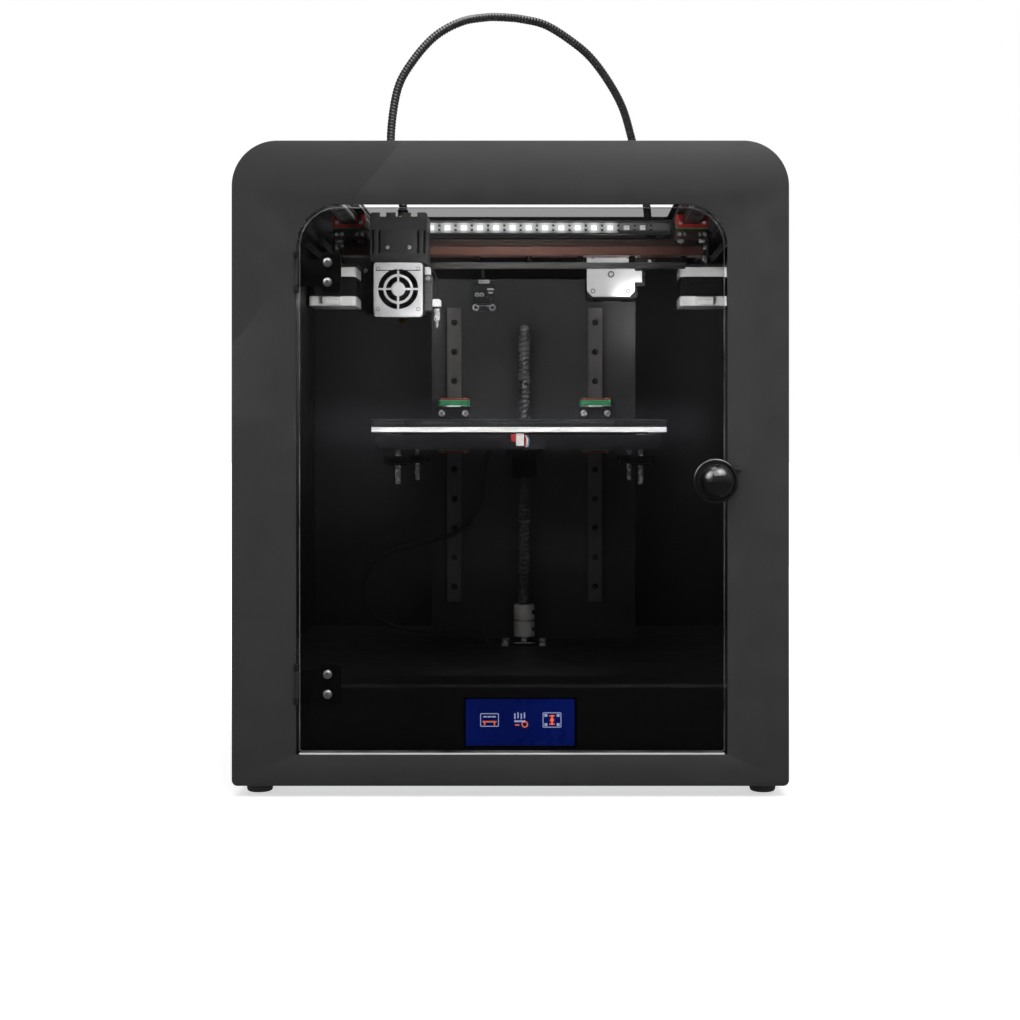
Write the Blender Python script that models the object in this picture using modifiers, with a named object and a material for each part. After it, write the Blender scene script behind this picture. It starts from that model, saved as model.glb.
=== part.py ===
"""Enclosed desktop FDM printer, one object for each sub-part, in metres.

X runs to the right, Y runs back from the front face, Z runs up from the surface it stands on.
The sizes below are millimetres; MM turns them into metres where a mesh is made. A place is written
as (x, depth, height), where depth is measured back from the front face of the case.
"""
import math

import bmesh
import bpy
from mathutils import Matrix, Vector

MM = 0.001
GAP = 0.3                                   # left between pieces that touch

# Case
CASE_WIDTH = 380.0
CASE_DEPTH = 396.0
CASE_TOP = 448.0
CASE_BOTTOM = 8.0
CASE_SHEET = 1.5
CORNER_RADIUS = 31.0
LOWER_CORNER_RADIUS = 4.0
FRAME_THICKNESS = 3.0
REAR_SHEET = 2.0
FRONT_Y = -187.0                            # the front face, so that the whole box is centred
TOP_OPENING_HALF = 133.0
TOP_OPENING_FRONT = 31.0
TOP_OPENING_REAR = 372.0
FOOT_X = 175.0
FOOT_RADIUS = 9.0

# Window, door and its hinges
WINDOW_LEFT = -146.0
WINDOW_RIGHT = 148.0
WINDOW_BOTTOM = 29.3
WINDOW_TOP = 404.5
WINDOW_RADIUS = 28.6
DOOR_GAP = 2.0
DOOR_FRONT = 0.5
DOOR_THICKNESS = 4.0
HINGE_X = -145.0
HINGE_DEPTH = -1.5
HINGE_HEIGHTS = {"lower": 77.3, "upper": 358.2}
HINGE_BOLT_X = -124.6
HINGE_BOLT_HALF_PITCH = 6.8
KNUCKLE_RADIUS = 1.3
KNOB_X = 139.6
KNOB_HEIGHT = 216.0

# Electronics bay
DECK_TOP = 76.0
BAY_FRONT = 8.0
SCREEN_LEFT, SCREEN_RIGHT = -32.0, 45.0
SCREEN_BOTTOM, SCREEN_TOP = 33.0, 67.3
INLET_X = 120.0
INLET_HEIGHT = 42.0

# Lift
AXIS_X = 5.5                                # the lift's middle
SCREW_DEPTH = 250.0
SCREW_RADIUS = 5.0
SCREW_TOP = 340.5
COUPLER_BOTTOM, COUPLER_TOP = 82.4, 109.0
COUPLER_RADIUS = 9.75
TOWER_DEPTH = 290.0
TOWER_TOP = 383.0
Z_RAIL_HALF_SPACING = 60.0
Z_RAIL_BOTTOM, Z_RAIL_TOP = 108.0, 358.0
Z_CARRIAGE_BOTTOM = 235.3

# Linear rails and their carriages
RAIL_WIDTH = 12.0
RAIL_HEIGHT = 8.0
RAIL_HOLE_PITCH = 25.0
CARRIAGE_WIDTH = 27.0
CARRIAGE_LENGTH = 45.4
CARRIAGE_CLEARANCE = 3.0                    # between a carriage and the rail's foot
CARRIAGE_TOTAL = 13.0

# Bed
BED_LEFT, BED_RIGHT = -96.7, 107.8
BED_FRONT, BED_REAR = 17.0, 222.0
HEATER_BOTTOM, HEATER_TOP = 249.4, 252.9
BUILD_PLATE_TOP = 258.2
BED_FRAME_BOTTOM, BED_FRAME_TOP = 238.0, 240.5
LEVEL_SPACING = 170.0
LEVEL_FRONT, LEVEL_REAR = 32.0, 202.0
WHEEL_BOTTOM, WHEEL_TOP = 226.5, 232.8
WHEEL_RADIUS = 10.0

# Gantry
Y_RAIL_X = {"left": -131.4, "right": 139.3}
Y_RAIL_FOOT = 424.5
Y_RAIL_FRONT, Y_RAIL_REAR = 42.0, 327.0
Y_CARRIAGE_FRONT = 177.3
BEAM_FRONT, BEAM_REAR = 190.3, 207.0
BEAM_BOTTOM, BEAM_TOP = 392.0, 404.7
X_RAIL_BOTTOM, X_RAIL_TOP = 382.4, 388.6

# Print head
HEAD_LEFT, HEAD_RIGHT = -120.4, -65.0
FAN_X = -90.2
FAN_HEIGHT = 361.0
COVER_FRONT = 150.0
TUBE_RADIUS = 3.4

# Stepper motors: 42.3 mm square, 34 mm long
MOTOR_SIDE = 42.3
MOTOR_LENGTH = 34.0
XY_MOTOR_X = {"left": -165.3, "right": 163.0}
XY_MOTOR_DEPTH = 356.5
XY_MOTOR_TOP = 398.5
PULLEY_RADIUS = 6.4
BELT_BOTTOM, BELT_TOP = 403.4, 409.4
IDLER_DEPTH = 34.0
EXTRUDER_X = 79.8
EXTRUDER_HEIGHT = 386.0
EXTRUDER_DEPTH = 262.0


# ---------------------------------------------------------------- helpers

def clear_scene():
    for item in list(bpy.data.objects):
        bpy.data.objects.remove(item, do_unlink=True)


def new_collection(name):
    collection = bpy.data.collections.new(name)
    bpy.context.scene.collection.children.link(collection)
    return collection


def place(x, depth, height):
    """World position in metres of a point given in millimetres."""
    return Vector((x * MM, (FRONT_Y + depth) * MM, height * MM))


def make_material(name, colour, roughness, metallic=0.0, alpha=1.0):
    material = bpy.data.materials.new(name)
    material.use_nodes = True
    shader = material.node_tree.nodes["Principled BSDF"]
    shader.inputs["Base Color"].default_value = (*colour, 1.0)
    shader.inputs["Roughness"].default_value = roughness
    shader.inputs["Metallic"].default_value = metallic
    shader.inputs["Alpha"].default_value = alpha
    return material


def add_object(name, mesh, look=None):
    item = bpy.data.objects.new(name, mesh)
    if look is None:
        cutters.objects.link(item)
        item.hide_render = True
        item.display_type = "WIRE"
    else:
        printer.objects.link(item)
        mesh.materials.append(make_material(name + "_finish", *look))
    return item


def mesh_from(bm, name):
    mesh = bpy.data.meshes.new(name)
    bm.to_mesh(mesh)
    bm.free()
    return mesh


def box(name, low, high, look=None, rounding=0.0):
    """A box from its low to its high corner, each (x, depth, height) in millimetres."""
    centre = [(a + b) / 2 for a, b in zip(low, high)]
    size = [(b - a) * MM for a, b in zip(low, high)]
    bm = bmesh.new()
    bmesh.ops.create_cube(bm, size=1.0)
    bmesh.ops.scale(bm, vec=size, verts=bm.verts)
    item = add_object(name, mesh_from(bm, name), look)
    item.location = place(*centre)
    if rounding:
        bevel = item.modifiers.new("rounding", "BEVEL")
        bevel.width = rounding * MM
        bevel.segments = 1
    return item


TURN_TO = {"z": (0.0, 0.0, 0.0), "y": (-math.pi / 2, 0.0, 0.0), "x": (0.0, math.pi / 2, 0.0)}


def rod(name, start, length, radius, axis="z", look=None, sides=24):
    """A round bar that runs from start along +axis."""
    bm = bmesh.new()
    bmesh.ops.create_cone(bm, cap_ends=True, segments=sides, radius1=radius * MM,
                          radius2=radius * MM, depth=length * MM)
    item = add_object(name, mesh_from(bm, name), look)
    middle = list(start)
    middle["xyz".index(axis)] += length / 2
    item.location = place(*middle)
    item.rotation_euler = TURN_TO[axis]
    return item


def arc(centre, radius, start_deg, end_deg, steps):
    """Points of an arc, both ends included."""
    span = end_deg - start_deg
    angles = [math.radians(start_deg + span * i / steps) for i in range(steps + 1)]
    return [(centre[0] + radius * math.cos(a), centre[1] + radius * math.sin(a)) for a in angles]


def rounded_rectangle(left, bottom, right, top, radii, steps=8):
    """An outline with its own radius at each corner: lower left, lower right, upper right, upper left."""
    corners = [(left, bottom, 1, 1, 180), (right, bottom, -1, 1, 270),
               (right, top, -1, -1, 0), (left, top, 1, -1, 90)]
    points = []
    for (x, y, along, up, start), radius in zip(corners, radii):
        if radius == 0:
            points.append((x, y))
            continue
        points += arc((x + along * radius, y + up * radius), radius, start, start + 90, steps)
    return points


FACING = {
    "front": (math.pi / 2, 0.0, 0.0),            # outline in x and height, thickness along depth
    "side": (math.pi / 2, 0.0, math.pi / 2),     # outline in depth and height, thickness along x
    "top": (0.0, 0.0, 0.0),                      # outline in x and depth, thickness along height
}


def slab(name, outlines, low, high, facing, look=None):
    """A flat piece with a closed outline, and holes where more outlines follow.

    low and high are the two faces: depths for a front slab, x for a side one, heights for a top one.
    """
    curve = bpy.data.curves.new(name + "_outline", "CURVE")
    curve.dimensions = "2D"
    curve.fill_mode = "BOTH"
    curve.extrude = (high - low) / 2 * MM
    for outline in outlines:
        spline = curve.splines.new("POLY")
        spline.points.add(len(outline) - 1)
        for point, (u, v) in zip(spline.points, outline):
            point.co = (u * MM, v * MM, 0.0, 1.0)
        spline.use_cyclic_u = True
    guide = bpy.data.objects.new(name + "_guide", curve)
    bpy.context.scene.collection.objects.link(guide)
    mesh = mesh_of(guide, name)
    item = add_object(name, mesh, look)
    middle = (low + high) / 2
    item.location = {
        "front": Vector((0.0, (FRONT_Y + middle) * MM, 0.0)),
        "side": Vector((middle * MM, FRONT_Y * MM, 0.0)),
        "top": Vector((0.0, FRONT_Y * MM, middle * MM)),
    }[facing]
    item.rotation_euler = FACING[facing]
    return item


def mesh_of(guide, name):
    """The welded mesh of a curve object, which is removed."""
    bpy.context.view_layer.update()
    mesh = bpy.data.meshes.new_from_object(guide.evaluated_get(bpy.context.evaluated_depsgraph_get()))
    mesh.name = name
    bm = bmesh.new()
    bm.from_mesh(mesh)
    bmesh.ops.remove_doubles(bm, verts=bm.verts, dist=0.00001)
    bmesh.ops.recalc_face_normals(bm, faces=bm.faces)
    bm.to_mesh(mesh)
    bm.free()
    bpy.data.objects.remove(guide, do_unlink=True)
    return mesh


def turned(name, profile, origin, axis="z", look=None, steps=24):
    """A turned piece: profile points are (radius, distance along the axis), from the far end back."""
    mesh = bpy.data.meshes.new(name)
    vertices = [(radius * MM, 0.0, along * MM) for radius, along in profile]
    mesh.from_pydata(vertices, [(i, i + 1) for i in range(len(vertices) - 1)], [])
    item = add_object(name, mesh, look)
    screw = item.modifiers.new("turning", "SCREW")
    screw.steps = steps
    screw.render_steps = steps
    screw.use_merge_vertices = True
    screw.merge_threshold = 0.00001
    item.location = place(*origin)
    item.rotation_euler = TURN_TO[axis]
    return item


def tube(name, points, radius, look):
    """A round tube along a smooth curve through the points, each (x, depth, height)."""
    curve = bpy.data.curves.new(name, "CURVE")
    curve.dimensions = "3D"
    curve.bevel_depth = radius * MM
    curve.bevel_resolution = 2
    curve.render_resolution_u = 0
    curve.use_fill_caps = True
    spline = curve.splines.new("POLY")
    spline.points.add(len(points) - 1)
    for point, route_point in zip(spline.points, points):
        point.co = (*place(*route_point), 1.0)
    item = bpy.data.objects.new(name, curve)
    printer.objects.link(item)
    curve.materials.append(make_material(name + "_finish", *look))
    return item


def smooth_route(points, spacing):
    """Points about spacing apart on a Catmull-Rom curve through the given points."""
    ends = [[2 * a - b for a, b in zip(points[0], points[1])],
            [2 * a - b for a, b in zip(points[-1], points[-2])]]
    padded = [ends[0], *points, ends[1]]
    route = []
    for p0, p1, p2, p3 in zip(padded, padded[1:], padded[2:], padded[3:]):
        steps = max(1, round(math.dist(p1, p2) / spacing))
        for i in range(steps):
            t = i / steps
            route.append(tuple(
                0.5 * (2 * b + (c - a) * t + (2 * a - 5 * b + 4 * c - d) * t ** 2
                       + (3 * b - a - 3 * c + d) * t ** 3)
                for a, b, c, d in zip(p0, p1, p2, p3)))
    return route + [tuple(points[-1])]


def combine(item, operation, *tools):
    for tool in tools:
        boolean = item.modifiers.new(tool.name, "BOOLEAN")
        boolean.operation = operation
        boolean.object = tool
        boolean.solver = "EXACT"


def cut(item, *tools):
    combine(item, "DIFFERENCE", *tools)


def join(item, *tools):
    combine(item, "UNION", *tools)


def bodies_of(name, meshes_at):
    """One cutter object holding several separate copies: (bmesh maker, matrix) pairs."""
    bm = bmesh.new()
    for maker, matrix in meshes_at:
        before = set(bm.verts)
        maker(bm)
        bmesh.ops.transform(bm, matrix=matrix, verts=[v for v in bm.verts if v not in before])
    return add_object(name, mesh_from(bm, name))


def drill_row(name, places, radius, depth, axis, sides=8):
    """A cutter of equal round drills, centred on the places."""
    turn = {"z": Matrix(), "y": Matrix.Rotation(math.pi / 2, 4, "X"),
            "x": Matrix.Rotation(math.pi / 2, 4, "Y")}[axis]

    def drill(bm):
        bmesh.ops.create_cone(bm, cap_ends=True, segments=sides, radius1=radius * MM,
                              radius2=radius * MM, depth=depth * MM)

    return bodies_of(name, [(drill, Matrix.Translation(place(*p)) @ turn) for p in places])


def slot_row(name, places, size):
    """A cutter of equal boxes, centred on the places."""
    def block(bm):
        bmesh.ops.create_cube(bm, size=1.0)

    scale = Matrix.Diagonal((size[0] * MM, size[1] * MM, size[2] * MM, 1.0))
    return bodies_of(name, [(block, Matrix.Translation(place(*p)) @ scale) for p in places])


def axis_empty(name, x, depth, height, parent=None):
    """An empty on a joint's axis, which carries the moving pieces."""
    empty = bpy.data.objects.new(name, None)
    empty.empty_display_size = 0.02
    printer.objects.link(empty)
    empty.location = place(x, depth, height)
    if parent:
        carry(parent, empty)
    return empty


def carry(parent, *items):
    """Parent the items without moving them in the world."""
    origin = parent.location.copy()
    if parent.parent:
        origin = parent["world_origin"]
    for item in items:
        item.parent = parent
        item.matrix_parent_inverse = Matrix.Translation(-Vector(origin))
        if item.type == "EMPTY":
            item["world_origin"] = item.location.copy()


def chamfered_square(side, cut_off):
    half = side / 2
    inner = half - cut_off
    return [(-half, -inner), (-inner, -half), (inner, -half), (half, -inner),
            (half, inner), (inner, half), (-inner, half), (-half, inner)]


def shifted(outline, x, y):
    return [(u + x, v + y) for u, v in outline]


# ---------------------------------------------------------------- looks: colour, roughness, metallic

DARK_PAINT = ((0.035, 0.035, 0.037), 0.5, 0.2)
BLACK_PLASTIC = ((0.012, 0.012, 0.013), 0.4)
BLACK_STEEL = ((0.02, 0.02, 0.021), 0.35, 0.6)
RUBBER = ((0.02, 0.02, 0.02), 0.9)
SMOKED = ((0.02, 0.02, 0.022), 0.05, 0.0, 0.45)
GLOSS_BLACK = ((0.01, 0.01, 0.01), 0.08)
ALUMINIUM = ((0.72, 0.72, 0.74), 0.35, 1.0)
STEEL = ((0.45, 0.45, 0.46), 0.25, 1.0)
COPPER_BROWN = ((0.22, 0.1, 0.06), 0.35, 0.8)
CIRCUIT_BLACK = ((0.01, 0.012, 0.012), 0.45)
CIRCUIT_GREEN = ((0.02, 0.12, 0.06), 0.45)
BRASS = ((0.75, 0.55, 0.2), 0.3, 1.0)
LIGHT_WHITE = ((0.9, 0.9, 0.9), 0.4)


# ---------------------------------------------------------------- case

def case_outline(inset):
    """The case's section seen from the front, with rounded upper corners."""
    half = CASE_WIDTH / 2 - inset
    lower = max(LOWER_CORNER_RADIUS - inset, 0.5)
    upper = CORNER_RADIUS - inset
    return rounded_rectangle(-half, CASE_BOTTOM + inset, half, CASE_TOP - inset,
                             (lower, lower, upper, upper))


def build_case():
    shell_front = FRAME_THICKNESS + GAP
    shell_rear = CASE_DEPTH - REAR_SHEET - GAP
    shell = slab("case_shell", [case_outline(0), case_outline(CASE_SHEET)], shell_front, shell_rear,
                 "front", DARK_PAINT)
    opening = box("top_opening_cutter", (-TOP_OPENING_HALF, TOP_OPENING_FRONT, CASE_TOP - 5),
                  (TOP_OPENING_HALF, TOP_OPENING_REAR, CASE_TOP + 5))
    underside = box("underside_cutter", (-168, 20, CASE_BOTTOM - 2),
                    (168, CASE_DEPTH + 5, CASE_BOTTOM + CASE_SHEET + 1))
    cut(shell, opening, underside)

    window = rounded_rectangle(WINDOW_LEFT, WINDOW_BOTTOM, WINDOW_RIGHT, WINDOW_TOP,
                               (1, 1, WINDOW_RADIUS, WINDOW_RADIUS))
    frame = slab("front_frame", [case_outline(0), window], 0, FRAME_THICKNESS, "front", DARK_PAINT)
    for end, height in HINGE_HEIGHTS.items():
        for place_name, low in (("above", height + 9.5), ("below", height - 14)):
            name = f"hinge_knuckle_{end}_{place_name}"
            knuckle = rod(name, (HINGE_X, HINGE_DEPTH, low), 4.5, KNUCKLE_RADIUS, "z", sides=12)
            web = box(name + "_web", (WINDOW_LEFT - 1.5, HINGE_DEPTH, low), (HINGE_X + 0.3, 2.5, low + 4.5))
            join(frame, web, knuckle)

    rear = slab("rear_panel", [case_outline(0)], CASE_DEPTH - REAR_SHEET, CASE_DEPTH, "front", DARK_PAINT)
    vent_places = [(x, CASE_DEPTH, height) for x in (-120, -95, -70, -45) for height in (30, 38, 46, 54)]
    vents = slot_row("rear_vent_cutter", vent_places, (19, 10, 3))
    inlet_hole = box("inlet_hole_cutter", (INLET_X - 14, CASE_DEPTH - 6, INLET_HEIGHT - 23),
                     (INLET_X + 14, CASE_DEPTH + 4, INLET_HEIGHT + 23))
    cut(rear, vents, inlet_hole)

    inner_half = CASE_WIDTH / 2 - CASE_SHEET - GAP
    floor_height = CASE_BOTTOM + CASE_SHEET + GAP
    base = box("base_pan", (-inner_half + 3, 4, floor_height), (inner_half - 3, 392, floor_height + 2),
               DARK_PAINT)
    base_vents = slot_row("base_vent_cutter", [(x, 120 + 16 * i, floor_height) for x in (-130, -80)
                                               for i in range(6)], (34, 6, 10))
    cut(base, base_vents)

    for side, x in (("left", -FOOT_X), ("right", FOOT_X)):
        for end, depth in (("front", 26), ("rear", CASE_DEPTH - 26)):
            top = CASE_BOTTOM - GAP
            profile = [(0, top), (FOOT_RADIUS, top), (FOOT_RADIUS, 1.2), (FOOT_RADIUS - 1.2, 0), (0, 0)]
            turned(f"foot_{end}_{side}", profile, (x, depth, 0), "z", RUBBER, 16)


def build_electronics():
    inner_half = CASE_WIDTH / 2 - CASE_SHEET - GAP
    bottom = 12.1
    sheet = 1.5
    rear = CASE_DEPTH - REAR_SHEET - 2 * GAP
    section = [(BAY_FRONT, bottom), (BAY_FRONT + sheet, bottom), (BAY_FRONT + sheet, DECK_TOP - sheet),
               (rear, DECK_TOP - sheet), (rear, DECK_TOP), (BAY_FRONT + 2, DECK_TOP),
               (BAY_FRONT, DECK_TOP - 2)]
    cover = slab("electronics_cover", [section], -inner_half, inner_half, "side", DARK_PAINT)
    screen_hole = box("screen_hole_cutter", (SCREEN_LEFT - 0.6, 5, SCREEN_BOTTOM - 0.6),
                      (SCREEN_RIGHT + 0.6, 12, SCREEN_TOP + 0.6))
    boss_hole = rod("motor_boss_cutter", (AXIS_X, SCREW_DEPTH, DECK_TOP - 10), 20, 11.6)
    lead_hole = rod("lead_hole_cutter", (-26.5, 262, DECK_TOP - 10), 20, 5, sides=16)
    cut(cover, screen_hole, boss_hole, lead_hole)

    screen = box("display_module", (SCREEN_LEFT - 5, 9.8, SCREEN_BOTTOM - 5),
                 (SCREEN_RIGHT + 5, 16, SCREEN_TOP + 5), BLACK_PLASTIC)
    glass = box("display_face", (SCREEN_LEFT, 8.3, SCREEN_BOTTOM), (SCREEN_RIGHT, 10.5, SCREEN_TOP))
    join(screen, glass)

    board = box("control_board", (-45, 60, 20), (65, 160, 21.6), CIRCUIT_GREEN)
    posts = [rod(f"board_post_{i}", (x, depth, bottom), 9, 2.5, sides=10)
             for i, (x, depth) in enumerate(((-41, 64), (61, 64), (-41, 156), (61, 156)))]
    chips = [box(f"board_chip_{i}", (-35 + 17 * i, 70, 21), (-23 + 17 * i, 82, 32)) for i in range(5)]
    sockets = box("board_sockets", (-38, 146, 21), (52, 154, 31))
    processor = box("board_processor", (0, 100, 21), (20, 120, 24))
    join(board, *posts, *chips, sockets, processor)

    supply = box("power_supply", (-172, 150, bottom), (-62, 345, 52), ALUMINIUM)
    supply_vents = slot_row("supply_vent_cutter",
                            [(-117, 170 + 12 * i, 52) for i in range(13)], (80, 4, 3))
    cut(supply, supply_vents)

    inlet = box("power_inlet", (INLET_X - 13.5, CASE_DEPTH - 28, INLET_HEIGHT - 22.5),
                (INLET_X + 13.5, CASE_DEPTH + 1, INLET_HEIGHT + 22.5), BLACK_PLASTIC)
    flange = slab("inlet_flange", [rounded_rectangle(INLET_X - 17, INLET_HEIGHT - 27, INLET_X + 17,
                                                     INLET_HEIGHT + 27, (3, 3, 3, 3), 4)],
                  CASE_DEPTH + GAP, CASE_DEPTH + 2, "front")
    socket = box("socket_cutter", (INLET_X - 10, CASE_DEPTH - 18, INLET_HEIGHT - 20),
                 (INLET_X + 10, CASE_DEPTH + 6, INLET_HEIGHT - 2))
    rocker_well = box("rocker_well_cutter", (INLET_X - 8.5, CASE_DEPTH - 8, INLET_HEIGHT + 2),
                      (INLET_X + 8.5, CASE_DEPTH + 6, INLET_HEIGHT + 20))
    join(inlet, flange)
    cut(inlet, socket, rocker_well)
    pins = [box(f"inlet_pin_{i}", (INLET_X + x - 1, CASE_DEPTH - 20, INLET_HEIGHT + z - 2.5),
                (INLET_X + x + 1, CASE_DEPTH - 4, INLET_HEIGHT + z + 2.5))
            for i, (x, z) in enumerate(((-5.5, -11), (0, -7.5), (5.5, -11)))]
    join(inlet, *pins)

    rocker_axis = axis_empty("power_rocker_axis", INLET_X, CASE_DEPTH - 2.5, INLET_HEIGHT + 11)
    rocker = box("power_rocker", (INLET_X - 7.5, CASE_DEPTH - 5, INLET_HEIGHT + 3.8),
                 (INLET_X + 7.5, CASE_DEPTH + 0.4, INLET_HEIGHT + 18.2), BLACK_PLASTIC, 0.8)
    rocker.rotation_euler = (math.radians(-7), 0, 0)
    carry(rocker_axis, rocker)


# ---------------------------------------------------------------- door

def build_door():
    left, right = WINDOW_LEFT + DOOR_GAP, WINDOW_RIGHT - DOOR_GAP
    bottom, top = WINDOW_BOTTOM + DOOR_GAP, WINDOW_TOP - DOOR_GAP
    radius = WINDOW_RADIUS - DOOR_GAP
    axis = axis_empty("door_hinge_axis", HINGE_X, HINGE_DEPTH, HINGE_HEIGHTS["lower"])
    rear = DOOR_FRONT + DOOR_THICKNESS
    bolt_places = [(HINGE_BOLT_X, height + offset) for height in HINGE_HEIGHTS.values()
                   for offset in (-HINGE_BOLT_HALF_PITCH, HINGE_BOLT_HALF_PITCH)]
    holes = [arc(centre, 2.1, 0, 330, 11) for centre in bolt_places]
    panel = slab("door_panel", [rounded_rectangle(left, bottom, right, top, (2, 2, radius, radius)),
                                *holes], DOOR_FRONT, rear, "front", SMOKED)

    knob = turned("door_knob", [(0, 24), (4, 23.6), (8, 21.6), (10.6, 17.6), (11.6, 12), (11.6, 7.5),
                                (15.3, 6.6), (15.3, 1.2), (14.6, GAP), (5, GAP), (5, -0.2), (0, -0.2)],
                  (KNOB_X, 0, KNOB_HEIGHT), "y", GLOSS_BLACK, 24)
    knob.rotation_euler = (math.pi / 2, 0, 0)
    carry(axis, panel, knob)

    for end, height in HINGE_HEIGHTS.items():
        outline = [(HINGE_X - 0.3, height - 9.2), (-131, height - 9.2), (-131, height - 14),
                   (-116, height - 14), (-116, height + 14), (-131, height + 14),
                   (-131, height + 9.2), (HINGE_X - 0.3, height + 9.2)]
        leaf = slab(f"door_hinge_{end}", [outline], rear + GAP, rear + 2.0, "front", BLACK_STEEL)
        web = box(f"hinge_web_{end}", (HINGE_X - 0.5, HINGE_DEPTH, height - 9.1),
                  (HINGE_X + 0.4, rear + 1.9, height + 9.1))
        knuckle = rod(f"hinge_knuckle_{end}", (HINGE_X, HINGE_DEPTH, height - 9), 18, KNUCKLE_RADIUS,
                      "z", sides=12)
        join(leaf, web, knuckle)
        for i, offset in enumerate((-HINGE_BOLT_HALF_PITCH, HINGE_BOLT_HALF_PITCH)):
            bolt_height = height + offset
            shank = rod(f"hinge_shank_{end}_{i}", (HINGE_BOLT_X, -1, bolt_height), 7.5, 1.6, "y", sides=12)
            dome = [(0, 2.6), (2.6, 2.4), (4, 0.6), (4, GAP - 0.5), (0, GAP - 0.5)]
            head = turned(f"hinge_bolt_{end}_{i}", dome, (HINGE_BOLT_X, 0, bolt_height), "y", None, 16)
            head.rotation_euler = (math.pi / 2, 0, 0)
            join(leaf, shank, head)
        carry(axis, leaf)


# ---------------------------------------------------------------- rails, motors

def rail_outline(foot, top):
    """A rail's section: (across, above the foot), waisted along both sides."""
    half = RAIL_WIDTH / 2
    return [(-half, foot), (half, foot), (half, foot + 0.45 * (top - foot)),
            (half - 1.2, foot + 0.62 * (top - foot)), (half, foot + 0.8 * (top - foot)), (half, top),
            (-half, top), (-half, foot + 0.8 * (top - foot)),
            (-half + 1.2, foot + 0.62 * (top - foot)), (-half, foot + 0.45 * (top - foot))]


def carriage_outline(facing_sign, foot):
    """A carriage's section around a rail whose foot is at foot and which rises along facing_sign."""
    half = CARRIAGE_WIDTH / 2
    inner = RAIL_WIDTH / 2 + 0.5
    near = foot + facing_sign * CARRIAGE_CLEARANCE
    crown = foot + facing_sign * (RAIL_HEIGHT + 0.4)
    far = foot + facing_sign * CARRIAGE_TOTAL
    return [(-half, near), (-inner, near), (-inner, crown), (inner, crown), (inner, near),
            (half, near), (half, far), (-half, far)]


def z_rail(side, x):
    foot = TOWER_DEPTH - GAP
    outline = shifted([(u, foot - v) for u, v in rail_outline(0, RAIL_HEIGHT)], x, 0)
    rail = slab(f"z_rail_{side}", [outline], Z_RAIL_BOTTOM, Z_RAIL_TOP, "top", STEEL)
    places = [(x, foot - RAIL_HEIGHT, Z_RAIL_BOTTOM + RAIL_HOLE_PITCH * (i + 0.5)) for i in range(10)]
    cut(rail, drill_row(f"z_rail_drills_{side}", places, 3.0, 9, "y"))


def z_carriage(side, x):
    outline = shifted(carriage_outline(-1, TOWER_DEPTH - GAP), x, 0)
    return slab(f"z_carriage_{side}", [outline], Z_CARRIAGE_BOTTOM, Z_CARRIAGE_BOTTOM + CARRIAGE_LENGTH,
                "top", STEEL)


def y_rail(side, x):
    outline = shifted([(u, Y_RAIL_FOOT - GAP - v) for u, v in rail_outline(0, RAIL_HEIGHT)], x, 0)
    slab(f"y_rail_{side}", [outline], Y_RAIL_FRONT, Y_RAIL_REAR, "front", STEEL)


def y_carriage(side, x):
    outline = shifted(carriage_outline(-1, Y_RAIL_FOOT - GAP), x, 0)
    return slab(f"y_carriage_{side}", [outline], Y_CARRIAGE_FRONT, Y_CARRIAGE_FRONT + CARRIAGE_LENGTH,
                "front", STEEL)


def upright_motor(name, x, depth, top, shaft_top):
    """A stepper motor with its shaft up, its face at top."""
    outline = shifted(chamfered_square(MOTOR_SIDE, 4), x, depth)
    motor = slab(name, [outline], top - MOTOR_LENGTH, top, "top", BLACK_STEEL)
    boss = rod(name + "_boss", (x, depth, top - 1), 3, 11)
    shaft = rod(name + "_shaft", (x, depth, top), shaft_top - top, 2.5, sides=16)
    plug = box(name + "_plug", (x - 8, depth - MOTOR_SIDE / 2 - 5, top - MOTOR_LENGTH + 0.5),
               (x + 8, depth - MOTOR_SIDE / 2 + 2, top - MOTOR_LENGTH + 7.5))
    join(motor, boss, shaft, plug)
    return motor


# ---------------------------------------------------------------- lift and bed

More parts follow.
